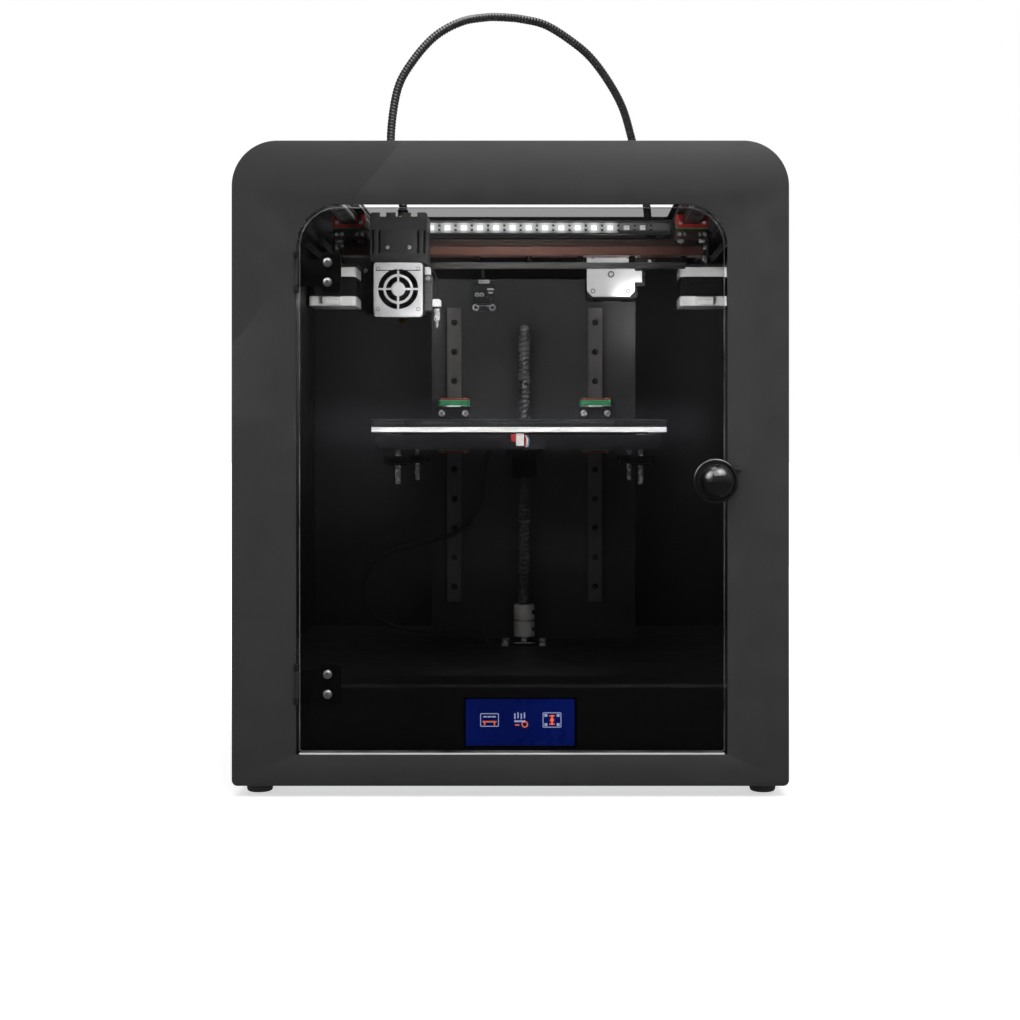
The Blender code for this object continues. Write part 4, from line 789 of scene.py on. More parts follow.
def carriage():
    """A ball carriage over such a rail, from y = 0 to its length: each part's form and look."""
    half, length = CARRIAGE_HALF, CARRIAGE_LENGTH

    def section(inset, top, channel):
        return [(-half + inset, 3.2), (-half + inset, top - 1.6), (-half + inset + 1.6, top),
                (half - inset - 1.6, top), (half - inset, top - 1.6), (half - inset, 3.2),
                (channel, 3.2), (channel, 8.9), (-channel, 8.9), (-channel, 3.2)]

    body = plate([section(0, 13.0, 6.5)], 5.8, length - 5.8, "front", 0.3)
    caps = [plate([section(0.3, 12.6, 6.7)], low, low + 4.2, "front", 0.4) for low in (1.5, length - 5.7)]
    seals = [plate([section(0.6, 12.2, 6.3)], low, low + 1.4, "front", 0.2) for low in (0.0, length - 1.4)]
    screws = joined(*(cross_screw((x, y, 8.2), (0, -1 if y < 1 else 1, 0), 1.5, 0.7)
                      for x in (-9.4, 9.4) for y in (0.1, length - 0.1)))
    balls = each(rod, [(x, 0.45, 6.0) for x in (-8.6, 8.6)], length - 0.9, 0.9, BEHIND, 0.2, 12)
    # Painted highlight: two pale strips across the body's top, where light glints on the steel.
    highlight_strips = joined(*(block((-5.6, y, 12.8), (5.6, y + 1.3, 13.12), 0.15) for y in (5.9, length - 7.2)))
    return ((body, STEEL), (highlight_strips, CAST_WHITE), (joined(*caps), CAP_GREEN), (joined(*seals), SEAL_RED),
            (screws, BRIGHT_STEEL), (balls, BRASS))


def placed(form, offset, facing):
    return moved(form, offset, FACING[facing])


def make_rails():
    for side in SIDES:
        for name, node, facing in ((f"lift_rail_{side}", f"z_rail_{side}", "front"),
                                   (f"travel_rail_{side}", f"y_rail_{side}", "below")):
            low, high = span(node)
            x = (low.x + high.x) / 2
            if facing == "front":
                length, foot = high.z - low.z, (x, high.y, low.z)
            else:
                length, foot = high.y - low.y, (x, low.y, high.z)
            steel, screws = rail(length)
            piece(name, "root", "steel", (placed(steel, foot, facing), RAIL_STEEL),
                  (placed(screws, foot, facing), DARK_SCREW), stands_for=[node])


def make_carriages():
    parts = carriage()
    for side in SIDES:
        low, high = span(f"z_carriage_{side}")
        offset = ((low.x + high.x) / 2, high.y + 3.0, low.z)
        piece(f"lift_carriage_{side}", "bed", "steel",
              *((placed(form, offset, "front"), look) for form, look in parts),
              stands_for=[f"z_carriage_{side}"])
        low, high = span(f"y_carriage_{side}")
        centre_x = (low.x + high.x) / 2
        offset = (centre_x, low.y, high.z + 3.0)
        inward = 1 if side == "left" else -1
        stop_x = sorted((centre_x + inward * 6.4, centre_x + inward * 13.2))
        stop = block((stop_x[0], low.y + 0.2, high.z - 6.0), (stop_x[1], low.y + 5.0, high.z + 1.9), 0.6)
        piece(f"travel_carriage_{side}", "gantry", "steel",
              *((placed(form, offset, "below"), look) for form, look in parts),
              (stop, SEAL_RED), stands_for=[f"y_carriage_{side}"])


# ---------------------------------------------------------------- motors, belts and pulleys

MOTOR_HALF = 21.15
MOTOR_LENGTH = 34.0
MOTOR_CAP = 8.4
MOTOR_HOLE = 15.5
SHAFT_RADIUS = 2.5
BELT_THICKNESS = 0.9
BELT_PITCH = 2

def square_outline(half, cut):
    return [(-half + cut, -half), (half - cut, -half), (half, -half + cut), (half, half - cut),
            (half - cut, half), (-half + cut, half), (-half, half - cut), (-half, -half + cut)]


def motor_forms(length):
    """A square stepper motor hanging under z = 0: two cast end caps, a stack of sheets and its screws."""
    half, foot = MOTOR_HALF, -length
    square = [rounded(-half, -half, half, half, 3.6, 6)]
    top_cap = joined(plate(square, -MOTOR_CAP, 0, "top", 0.5),
                     turned([(0, -0.5), (11, -0.5), (11, 1.4), (10.4, 2.0), (8.4, 2.0), (8.4, 1.5), (0, 1.5)],
                            ORIGIN, steps=40))
    low_cap = plate(square, foot, foot + MOTOR_CAP, "top", 0.5)
    stack = plate([square_outline(half - 0.35, 5.2)], foot + MOTOR_CAP - 0.1, -MOTOR_CAP + 0.1, "top", 0.1)
    places = [(x, y, 0) for x, y in corners(MOTOR_HOLE)]
    tip = [(0, foot - 0.02), (2.6, foot - 0.02), (2.6, foot + 2.4), (0, foot + 2.4)]
    screws = joined(*(turned(tip, place, steps=16) for place in places))
    bolts = each(cap_screw, places, UP, 2.7, 2.6)
    plug = joined(block((-8, -half - 4.8, foot + 0.7), (8, -half + 2, foot + 7.3), 0.5),
                  block((-6.5, -half - 5.0, foot + 1.8), (6.5, -half - 4.4, foot + 3.0), 0.2))
    pins = joined(*(block((x - 0.4, -half - 5.0, foot + 4.2), (x + 0.4, -half - 4.0, foot + 5.4), 0.1)
                    for x in (-5, -3, -1, 1, 3, 5)))
    return {"caps": joined(top_cap, low_cap), "stack": stack, "screws": joined(screws, bolts), "plug": plug,
            "pins": pins}


def make_corner_motors():
    forms = motor_forms(MOTOR_LENGTH)
    for side in SIDES:
        node = f"xy_motor_{side}"
        low, high = span(node)
        pulley_low, pulley_high = span(f"motor_pulley_{side}")
        x, y = (pulley_low.x + pulley_high.x) / 2, (pulley_low.y + pulley_high.y) / 2
        top = low.z + MOTOR_LENGTH
        shaft = rod((x, y, top), high.z - top, SHAFT_RADIUS, chamfer=0.4)
        at = {key: moved(form, (x, y, top)) for key, form in forms.items()}
        piece(f"corner_motor_{side}", "root", "black_steel", (at["caps"], CAST_WHITE),
              (at["stack"], SHEET_STACK), (joined(at["screws"], shaft, at["pins"]), BRIGHT_STEEL),
              (at["plug"], WHITE_PLASTIC), stands_for=[node])


def belt_wheel_forms(radius, flange, low, high, bore):
    """A toothed pulley: a toothed drum between two flanges."""
    drum = turned([(bore, low - 0.2), (radius, low - 0.2, "teeth"), (radius, high + 0.2, "teeth"),
                   (bore, high + 0.2), (bore, low - 0.2)], ORIGIN, steps=80)
    flanges = [turned([(bore, z), (flange, z), (flange, z + 0.55), (flange - 0.4, z + 0.9), (bore, z + 0.9),
                       (bore, z)], ORIGIN, steps=48) for z in (low - 1.2, high + 0.45)]
    return joined(drum, *flanges)


def make_lift_motor():
    low, high = span("z_motor")
    axis = middle("ball_screw")
    top = low.z + MOTOR_LENGTH
    forms = motor_forms(MOTOR_LENGTH)
    at = {key: moved(form, (axis.x, axis.y, top)) for key, form in forms.items() if key != "screws"}
    shaft = rod((axis.x, axis.y, top), high.z - top, SHAFT_RADIUS, chamfer=0.4)
    piece("lift_motor", "root", "black_steel", (at["caps"], CAST_WHITE), (at["stack"], SHEET_STACK),
          (joined(shaft, at["pins"]), BRIGHT_STEEL), (at["plug"], WHITE_PLASTIC), stands_for=["z_motor"])


def make_belt_drive():
    for side in SIDES:
        belt_low, belt_high = span(f"y_belt_{side}")
        for node, look in ((f"motor_pulley_{side}", ALUMINIUM), (f"front_idler_{side}", BRIGHT_STEEL)):
            low, high = span(node)
            centre = (low + high) / 2
            wheel = belt_wheel_forms(6.4, (high.x - low.x) / 2, belt_low.z, belt_high.z, 2.8)
            body = node.replace("motor_", "").replace("front_", "")
            piece(f"{node}_wheel", body, "aluminium", (moved(wheel, (centre.x, centre.y, 0)), look),
                  stands_for=[node])
        x, radius = (belt_low.x + belt_high.x) / 2, (belt_high.x - belt_low.x) / 2
        front, rear = belt_low.y + radius, belt_high.y - radius
        thin = radius - BELT_THICKNESS
        loops = [[*arc((x, rear), bend, 0, 180, 24), *arc((x, front), bend, 180, 360, 24)]
                 for bend in (radius, thin)]
        band = plate(loops, belt_low.z, belt_high.z, "top", 0.08)
        teeth = []
        for i in range(int((belt_high.y - belt_low.y - 2 * radius) / BELT_PITCH)):
            y = front + 1 + BELT_PITCH * i
            for edge in (-1, 1):
                tooth_left, tooth_right = sorted((x + edge * (thin + 0.05), x + edge * (thin - 0.45)))
                teeth.append(block((tooth_left, y - 0.45, belt_low.z + 0.1),
                                   (tooth_right, y + 0.45, belt_high.z - 0.1), 0))
        piece(f"drive_belt_{side}", "root", "rubber", (joined(band, *teeth), RUBBER),
              stands_for=[f"y_belt_{side}"])


def make_screw():
    """The lifting screw's thread is a groove that winds around it, a full turn for each pitch."""
    low, high = span("ball_screw")
    centre = (low + high) / 2
    coupler_top, pitch, radius = low.z + 26.6, 4.0, 5.0
    rows_per_pitch, sides = 10, 28
    clamp_x, clamp_heights = centre.x + 8.3, (low.z + 6.4, low.z + 20.4)
    rows = int((high.z - 1.2 - coupler_top) / pitch * rows_per_pitch)
    points, faces = [], []
    for row in range(rows + 1):
        for side in range(sides):
            phase = (row / rows_per_pitch - side / sides) % 1
            groove = 0.95 * max(0.0, math.cos(2 * math.pi * (phase - 0.5))) ** 0.8
            angle = 2 * math.pi * side / sides
            points.append(Vector((centre.x + (radius - groove) * math.cos(angle),
                                  centre.y + (radius - groove) * math.sin(angle),
                                  coupler_top + pitch * row / rows_per_pitch)))
    for row in range(rows):
        for side in range(sides):
            a, b = row * sides + side, row * sides + (side + 1) % sides
            faces.append([a, b, b + sides, a + sides])
    faces += [list(range(sides))[::-1], [rows * sides + side for side in range(sides)]]
    tip = turned([(0, high.z - 1.6), (3.8, high.z - 1.6), (3.8, high.z - 0.5), (3.2, high.z), (0, high.z)],
                 (centre.x, centre.y, 0))
    r = (high.x - low.x) / 2 - 1.1
    slit = low.z + 13.3
    coupler = turned([(0, low.z), (r - 0.7, low.z), (r, low.z + 0.7), (r, slit - 0.8), (r - 3.6, slit - 0.8),
                      (r - 3.6, slit + 0.8), (r, slit + 0.8), (r, coupler_top - 0.7), (r - 0.7, coupler_top),
                      (0, coupler_top)], (centre.x, centre.y, 0), steps=56)
    slots = [block((centre.x + 1, centre.y - 0.45, z0), (centre.x + 12, centre.y + 0.45, z1), 0)
             for z0, z1 in ((low.z - 1, low.z + 11), (low.z + 15.6, coupler_top + 1))]
    holes = [rod((clamp_x, centre.y - 12, z), 8.4, 2.7, BEHIND, 0.1) for z in clamp_heights]
    coupler = carved(coupler, *slots, *holes)
    clamps = each(cap_screw, [(clamp_x, centre.y - 3.7, z) for z in clamp_heights], AHEAD, 1.9, 1.8)
    piece("lift_screw", "screw", "steel", ((points, faces), SCREW_STEEL), (tip, SCREW_STEEL),
          (coupler, COUPLER_GREY), (clamps, DARK_SCREW), stands_for=["ball_screw"])


# ---------------------------------------------------------------- bed

SPRING_TURNS = 3
FRAME_TOP = 239.8


def make_bed():
    low, high = span("build_plate")
    sheet = plate([rounded(low.x, low.y, high.x, high.y, 3.0, 6)], high.z - 2.2, high.z, "top", 0.35)
    glue = plate([rounded(low.x + 0.8, low.y + 0.8, high.x - 0.8, high.y - 0.8, 2.4, 6)], low.z,
                 high.z - 2.25, "top", 0.25)
    clips = [block((x - 7, low.y - 0.3, low.z - 0.1), (x + 7, low.y + 0.5, high.z + 0.1), 0.3)
             for x in (low.x + 30, high.x - 30)]
    piece("print_surface", "bed", "black_plastic", (sheet, PLATE_TEXTURE), (glue, SATIN_BLACK),
          (joined(*clips), BLACK_METAL), stands_for=["build_plate"])

    low, high = span("heater_plate")
    plate_low = high.z - 3.5
    heater = plate([rounded(low.x, low.y, high.x, high.y, 2.0, 6)], plate_low, high.z, "top", 0.3)
    pad = plate([rounded(low.x + 12, low.y + 12, high.x - 12, high.y - 12, 6.0, 6)], plate_low - 1.0,
                plate_low + 0.2, "top", 0.2)
    spring_foot = FRAME_TOP + 0.6
    stems, springs = [], []
    for side in SIDES:
        for end in ("front", "rear"):
            wheel_low, wheel_high = span(f"level_wheel_{end}_{side}")
            x, y = (wheel_low.x + wheel_high.x) / 2, (wheel_low.y + wheel_high.y) / 2
            stem = [(0, low.z), (1.5, low.z)]
            for i in range(int((plate_low - low.z - 2) / 1.0)):
                stem += [(1.75, low.z + 0.8 + i), (2.0, low.z + 1.3 + i)]
            stem += [(1.9, plate_low + 0.5), (0, plate_low + 0.5)]
            stems.append(turned(stem, (x, y, 0), steps=16))
            coil = [(x + 3.6 * math.cos(2 * math.pi * t), y + 3.6 * math.sin(2 * math.pi * t),
                     spring_foot + (plate_low - spring_foot - 0.6) * t / SPRING_TURNS)
                    for t in [i / 16 for i in range(16 * SPRING_TURNS + 1)]]
            springs.append(pipe(coil, 0.55, 8))
    piece("heated_plate", "bed", "aluminium", (heater, CAST_WHITE), (pad, RUBBER),
          (joined(*stems), BRIGHT_STEEL), stands_for=["heater_plate"])
    piece("level_springs", "bed", "steel", (joined(*springs), BRIGHT_STEEL))

    for end in ("front", "rear"):
        for side in SIDES:
            node = f"level_wheel_{end}_{side}"
            low, high = span(node)
            r = (high.x - low.x) / 2
            profile = [(2.3, low.z), (r - 2.4, low.z), (r - 2.0, low.z + 1.0),
                       (r - 0.4, low.z + 1.2, "knurl"), (r, low.z + 1.7, "knurl"),
                       (r, high.z - 0.6, "knurl"), (r - 0.5, high.z, "knurl"), (4.6, high.z),
                       (4.2, high.z - 0.5), (2.3, high.z - 0.5), (2.3, low.z)]
            wheel = turned(profile, (*((low + high) / 2).xy, 0), steps=72)
            piece(f"{node}_knob", f"wheel_{end}_{side}", "aluminium", (wheel, BLACK_METAL), stands_for=[node])


def make_bed_details():
    """Screws of the carriages, the heater's connector and its short wires, on the bed's frame."""
    tab_top = span("bed_frame")[1].z
    screws = []
    for side in SIDES:
        low, high = span(f"z_carriage_{side}")
        x, tab_front = (low.x + high.x) / 2, low.y - 3.0
        for dx in (-10, 10):
            for z in (tab_top - 5.5, tab_top - 25.5):
                screws.append(cap_screw((x + dx, tab_front, z), AHEAD, 2.7, 2.8))
    piece("carriage_screws", "bed", "steel", (joined(*screws), BRIGHT_STEEL))

    front, top = span("build_plate")[0].y + 0.2, span("heater_plate")[1].z - 4.1
    plug_x = middle("ball_screw").x - 2.0
    socket = joined(block((plug_x, front, top - 8.8), (plug_x + 5.4, front + 3.0, top), 0.5),
                    block((plug_x + 1.0, front - 0.15, top - 3.4),
                          (plug_x + 4.4, front + 0.2, top - 2.4), 0.1))
    plug = block((plug_x - 3.6, front + 0.2, top - 5.8), (plug_x - 0.1, front + 2.8, top - 0.8), 0.5)
    wires = []
    for i in range(3):
        route = [(plug_x + 5.2, front + 1.4, top - 0.9 - 0.3 * i),
                 (plug_x + 6.4 + i, front + 1.2, top - 2.6 - 0.4 * i),
                 (plug_x + 6.6 + i, front + 1.3, top - 6.6), (plug_x + 6.2 + i, front + 2.2, top - 9.0),
                 (plug_x + 5.6 + i, front + 7.0, top - 11.2)]
        wires.append(pipe(smooth_route(route, 1.0), 0.5, 8))
    piece("heater_plug", "bed", "black_plastic", (socket, WHITE_PLASTIC), (plug, RED_PLASTIC),
          (wires[0], RED_PLASTIC), (wires[1], WHITE_PLASTIC), (wires[2], BLUE_PLASTIC))


# ---------------------------------------------------------------- gantry

BEAM_FRONT, BEAM_REAR = 3.3, 20.0
BEAM_BOTTOM, BEAM_TOP = 392.0, 404.7
RAIL_SPACER_PITCH = 41.2
LAMP_PITCH = 13.0
LAMP_FIRST = 9
LAMPS_OFF = 2


def grooved_section(left, bottom, right, top, groove_heights, half_height=0.9, depth=1.1):
    """A section with sunk grooves along its left side, from the lower left corner to the upper left."""
    points = [(left, bottom), (right, bottom), (right, top), (left, top)]
    for height in sorted(groove_heights, reverse=True):
        points += [(left, height + half_height), (left + depth, height + half_height),
                   (left + depth, height - half_height), (left, height - half_height)]
    return points


def make_beam():
    low, high = span("x_beam")
    left, right = low.x + 7.5, high.x - 3.5
    front, rear, bottom, top = BEAM_FRONT, BEAM_REAR, BEAM_BOTTOM, BEAM_TOP
    step = bottom + 0.54 * (top - bottom)
    lower = plate([grooved_section(front, bottom, rear, step, (bottom + 0.9,), 0.3, 0.4),
                   rounded(front + 2.2, bottom + 2.0, rear - 2.0, step - 1.6, 0.8, 3)],
                  left, right, "side", 0.2)
    upper = plate([grooved_section(front + 1.4, step + 0.05, rear, top, (top - 2.2,), 0.4, 0.6),
                   rounded(front + 3.8, step + 1.6, rear - 2.0, top - 1.8, 0.8, 3)],
                  left, right, "side", 0.2)
    screws = each(cap_screw, [(x, front + 1.6, step + 3.0)
                              for x in (left + 6, left + 18, right - 18, right - 6)], AHEAD, 1.7, 1.3)
    piece("cross_beam", "gantry", "copper_brown", (lower, COPPER_BROWN), (upper, COPPER_DARK),
          (screws, DARK_SCREW), stands_for=["x_beam"])

    rail_left, rail_right, rail_front, rail_rear = left + 14, right - 14, 7.8, 16.8
    centre_y = (rail_front + rail_rear) / 2
    rail_foot = 386.8
    steel, rail_screws = rail(rail_right - rail_left, half=4.5, height=4.4, pitch=20.0)
    offset = (rail_left, centre_y, rail_foot)
    spacer_x = [rail_left + 10 + RAIL_SPACER_PITCH * i for i in range(7)]
    spacers = each(rod, [(x, centre_y, rail_foot - 0.1) for x in spacer_x if x < rail_right],
                   bottom - rail_foot + 0.2, 2.6)
    piece("cross_rail", "gantry", "steel", (placed(steel, offset, "crosswise"), RAIL_STEEL),
          (placed(rail_screws, offset, "crosswise"), DARK_SCREW), (spacers, DARK_SCREW))


def make_gantry_ends():
    """At each end of the beam: a brown block under the carriage, its screws, and the belt's clamp."""
    for side, inward in (("left", 1), ("right", -1)):
        low, high = span(f"y_carriage_{side}")
        x = (low.x + high.x) / 2
        bottom, top = span("x_beam")[1].z - 7.2, span("x_beam")[1].z
        outline = rounded(x - 13.5, low.y + 2.0, x + 13.5, high.y - 2.4, 2.4, 5)
        holes = [(x + dx, 13.0 + dy) for dx, dy in corners(8.5, 13)]
        block_form = plate([outline, *(circle(hole, 1.7, 16) for hole in holes)], bottom, top, "top", 0.5)
        screws = joined(each(cap_screw, [(*hole, bottom + 0.2) for hole in holes], DOWN, 2.7, 2.5),
                        each(cap_screw, [(x + dx, low.y + 2.3, top - 3.6) for dx in (-10, -6, 6, 10)],
                             AHEAD, 1.5, 1.2))
        outer = x - inward * CARRIAGE_HALF
        reach = sorted((outer + inward * 1.0, outer - inward * 4.4))
        gusset = plate([[(low.y + 3, bottom + 0.2), (22, bottom + 0.2), (22, 392.4), (9, 384.2),
                         (low.y + 3, 384.2)]], *sorted((outer, outer + inward * 2.2)), "side", 0.3)
        bolts = each(cap_screw, [(outer + inward * 2.1, y, z)
                                 for y, z in ((-1.5, 398), (-1.5, 388), (9.5, 390.5))],
                     (inward, 0, 0), 2.2, 2.0)
        arm = block((reach[0], 6, 410.1), (reach[1], 20, 410.9), 0.3)
        piece(f"gantry_block_{side}", "gantry", "copper_brown", (block_form, COPPER_DARK),
              (joined(gusset, arm), SATIN_BLACK), (joined(screws, bolts), BRIGHT_STEEL))


def make_painted_lamp_glow(first_lamp):
    """The board between the lamps, with the lamps' light on it painted as a glow: brightest beside each lamp.
    """
    look = make_look("painted_lamp_glow", (0.3, 0.3, 0.3), 0.4, grain=(700, 0.08), Emission_Color=(1, 1, 1, 1))
    tree = look.node_tree
    shader = tree.nodes["Principled BSDF"]
    wave = add_node(tree, "ShaderNodeTexWave", Scale=WAVE_SCALE / (LAMP_PITCH * MM),
                    Phase_Offset=math.pi - 2 * math.pi * (first_lamp / LAMP_PITCH % 1))
    wave.bands_direction = "X"
    tree.links.new(node_of(look, "MAPPING").outputs["Vector"], wave.inputs["Vector"])
    glow = ranged(tree, wave.outputs["Fac"], 0.3, 1.25, (0, 1))
    tree.links.new(glow, shader.inputs["Emission Strength"])
    return look


def make_light_bar():
    low, high = span("light_bar")
    front, rear, bottom, top = low.y, high.y, 409.0, high.z
    section = [(front, top), (front, top - 1.1), (rear - 2.4, top - 1.1), (rear - 2.4, bottom + 1.1),
               (front + 2.8, bottom + 1.1), (front + 2.8, bottom), (rear, bottom), (rear, top)]
    channel = plate([section], low.x, high.x, "side", 0.2)
    caps = joined(*(block((x0, front + 0.3, bottom + 0.3), (x0 + 1.6, rear - 0.3, top - 0.3), 0.4)
                    for x0 in (low.x + 0.2, high.x - 1.8)))
    legs, leg_screws = [], []
    for x in (low.x + 16, high.x - 16):
        legs.append(block((x - 4, rear - 2.2, low.z), (x + 4, rear - 0.4, bottom + 0.3), 0.3))
        leg_screws.append(cap_screw((x, rear - 2.2, low.z + 2.4), AHEAD, 1.6, 1.2))
    count = int((high.x - low.x - 10) // LAMP_PITCH)
    first = low.x + LAMP_FIRST
    lit_end = first + LAMP_PITCH * (count - LAMPS_OFF - 0.5)
    # The lit part of the board glows with painted light from its lamps.
    lit_board = block((low.x + 2, rear - 3.5, bottom + 1.4), (lit_end, rear - 2.5, top - 1.4), 0.15)
    dark_board = block((lit_end, rear - 3.5, bottom + 1.4), (high.x - 2, rear - 2.5, top - 1.4), 0.15)
    lit, unlit, chips = [], [], []
    middle_z = (bottom + top) / 2
    for i in range(count):
        x = first + LAMP_PITCH * i
        body = block((x - 2.2, rear - 4.9, middle_z - 1.9), (x + 2.2, rear - 3.4, middle_z + 1.9), 0.35)
        (unlit if i >= count - LAMPS_OFF else lit).append(body)
        chips += [block((x + 5.6, rear - 4.0, middle_z + dz - 0.7),
                        (x + 7.4, rear - 3.4, middle_z + dz + 0.7), 0.12) for dz in (-1.8, 1.8)]
    piece("light_strip", "gantry", "light_white", (joined(channel, caps, *legs), DARK_CHANNEL),
          (lit_board, make_painted_lamp_glow(first)), (dark_board, LAMP_BOARD), (joined(*lit), LAMP_LIT),
          (joined(*unlit), WHITE_PLASTIC), (joined(*chips), SATIN_BLACK), (joined(*leg_screws), DARK_SCREW),
          stands_for=["light_bar"])


BRACKET_TOP = 400.82


def make_frame_details():
    """Screws of the frame that carries the Y rails, seen from above through the case's opening."""
    low, high = span("upper_frame")
    places = [(x, y) for x in (low.x + 7, high.x - 7) for y in (-165, -90, -20, 50, 120, 190)]
    places += [(x, y) for x in (-100, -35, 35, 100) for y in (-172, 195)]
    screws = each(button_screw, [(x, y, high.z - 0.02) for x, y in places], UP, 2.6, 1.4)
    brackets, posts = [], []
    for side in SIDES:
        centre = middle(f"motor_pulley_{side}")
        brackets.append(each(cap_screw, [(centre.x + dx, centre.y + dy, BRACKET_TOP)
                                         for dx, dy in corners(MOTOR_HOLE)], UP, 2.2, 1.0))
        idler = middle(f"front_idler_{side}")
        posts.append(rod((idler.x, idler.y, high.z - 0.05), 1.6, 4.2, steps=6))
    piece("frame_screws", "root", "black_steel", (joined(screws, *brackets), DARK_SCREW),
          (joined(*posts), BRIGHT_STEEL))


# ---------------------------------------------------------------- print head

HEAD_X = -90.2
HEAD_TUBE_PLACE = (-88.3, -15.0)
EXTRUDER_TUBE_PLACE = (109.6, 83.0)
FAN_HEIGHT = 361.3
FAN_HOLE = 15.6
BLADES = 7


def ring_sectors(centre, outer, inner, bar_half, steps=14):
    """The four openings between two circles, parted by a cross of straight bars."""
    loops = []
    for quarter in range(4):
        loop = []
        for radius, backward in ((outer, False), (inner, True)):
            trim = math.degrees(math.asin(bar_half / radius))
            points = arc(centre, radius, 90 * quarter + trim, 90 * quarter + 90 - trim, steps)
            loop += points[::-1] if backward else points
        loops.append(loop)
    return loops


def make_head():
    front, rear = span("head_housing")[0].y, 2.6
    left, right, bottom, top = -112.0, -68.0, 382.0, 420.7
    notches = []
    for x in (-78.0, -90.0, -102.0):
        notches += [(x + 2.4, top), (x + 2.4, top - 3.2), (x - 2.4, top - 3.2), (x - 2.4, top)]
    outline = [(left + 1.2, bottom), (right - 1.2, bottom), (right, bottom + 1.2), (right, top - 1.2),
               (right - 1.2, top), *notches, (left + 1.2, top), (left, top - 1.2), (left, bottom + 1.2)]
    slots = [rounded(x - 0.75, 389, x + 0.75, 407, 0.6, 3) for x in (-109.9, -105.1, -74.9, -70.1)]
    face = plate([outline, *slots], front, front + 1.8, "front", 0.35)
    side = plate([[(left, bottom), (left + 1.6, bottom), (left + 1.6, top - 2.0), (left, top - 2.0)]],
                 front + 1.7, rear, "front", 0.2)
    sides = joined(side, moved(side, (right - left - 1.6, 0, 0)))
    lid = plate([rounded(left + 0.2, front + 1.7, right - 0.2, rear, 0.5, 2),
                 circle(HEAD_TUBE_PLACE, 5.4, 24)], top - 4.8, top - 3.3, "top", 0.2)
    core = block((left + 1.7, front + 3.6, bottom), (right - 1.7, rear - 0.2, top - 4.9), 0.4)
    rear_wall = block((left, rear - 1.5, bottom), (right, rear, top - 2.0), 0.3)
    dots = each(cross_screw, [(HEAD_X + dx, front + 0.1, 393.7) for dx in (-8.4, 8.6)], AHEAD, 1.5, 0.8)
    piece("head_box", "head", "black_plastic", (joined(face, sides, lid, rear_wall), HEAD_BLACK),
          (core, RUBBER), (dots, BRIGHT_STEEL), stands_for=["head_housing"])

    lower = plate([rounded(-120.4, 344.0, -71.4, 382.2, (3, 1, 1, 5), 5)], -21.0, 2.6, "front", 0.5)
    vents = [block((x - 0.6, -19.5, 343.8), (x + 0.6, 0.5, 352.0), 0.1) for x in (-117, -114.5, -112)]
    flank = plate([rounded(-71.2, 346.0, -65.2, 374.0, (1, 1.5, 1.5, 1), 4)], -20.6, 1.6, "front", 0.4)
    clip = joined(block((-71.0, -21.6, 374.3), (-66.4, -12, 379.9), 0.5),
                  block((-70.2, -22.0, 376.2), (-67.2, -21.5, 378.0), 0.15))
    seam = joined(*(block((-71.0, -21.0, z), (-65.4, -20.4, z + 0.7), 0.1) for z in (352, 360, 368)))
    screws = each(cap_screw, [(-117, -20.9, 377), (-68.3, -20.9, 371)], AHEAD, 1.7, 1.3)
    piece("head_lower", "head", "black_plastic", (carved(lower, *vents), HEAD_BLACK), (flank, FLANK_GREY),
          (clip, SILVER_PAINT), (seam, RUBBER), (screws, BRIGHT_STEEL))


def make_head_saddle():
    """The ball carriage that carries the head, around the cross rail."""
    left, right = -108.0, -73.0
    section = [(-1, 376.4), (19.4, 376.4), (19.4, 385.6), (17.2, 385.6), (17.2, 382.0), (7.4, 382.0),
               (7.4, 385.6), (3.0, 385.6), (3.0, 382.5), (-1, 382.5)]
    body = plate([section], left + 4.2, right - 4.2, "side", 0.3)
    caps = joined(*(plate([section], x0, x0 + 3.0, "side", 0.5) for x0 in (left + 1.1, right - 4.1)))
    seals = joined(*(plate([section], x0, x0 + 1.0, "side", 0.2) for x0 in (left, right - 1.0)))
    bolts = each(cap_screw, [(x, y, 376.5) for x in (-98, -83) for y in (6, 15)], DOWN, 1.7, 1.0)
    piece("head_carriage", "head", "steel", (body, STEEL), (caps, CAP_GREEN), (seals, SEAL_RED),
          (bolts, BRIGHT_STEEL))


def make_fittings():
    """A push fitting at each end of the tube: hexagon nut, barrel and the collar that holds the tube."""
    for name, body, place, low, high, radius in (
            ("head_fitting", "head", HEAD_TUBE_PLACE, 416.1, 425.3, 5.0),
            ("extruder_fitting", "root", EXTRUDER_TUBE_PLACE, 394.5, 410.9, 4.4)):
        nut_top, collar = low + (high - low) * 0.42, high - (high - low) * 0.3
        nut = turned([(0, low), (radius - 0.2, low, "hex"), (radius, low + 0.4, "hex"),
                      (radius, nut_top - 0.4, "hex"), (radius - 0.4, nut_top, "hex"), (radius * 0.8, nut_top),
                      (radius * 0.8, collar), (0, collar)], (*place, 0), steps=36)
        ring = turned([(2.3, collar - 0.2), (radius * 0.72, collar - 0.2), (radius * 0.86, high - 0.6),
                       (radius * 0.8, high), (2.3, high), (2.3, collar - 0.2)], (*place, 0), steps=36)
        piece(name, body, "brass", (nut, BRASS), (ring, SATIN_BLACK))


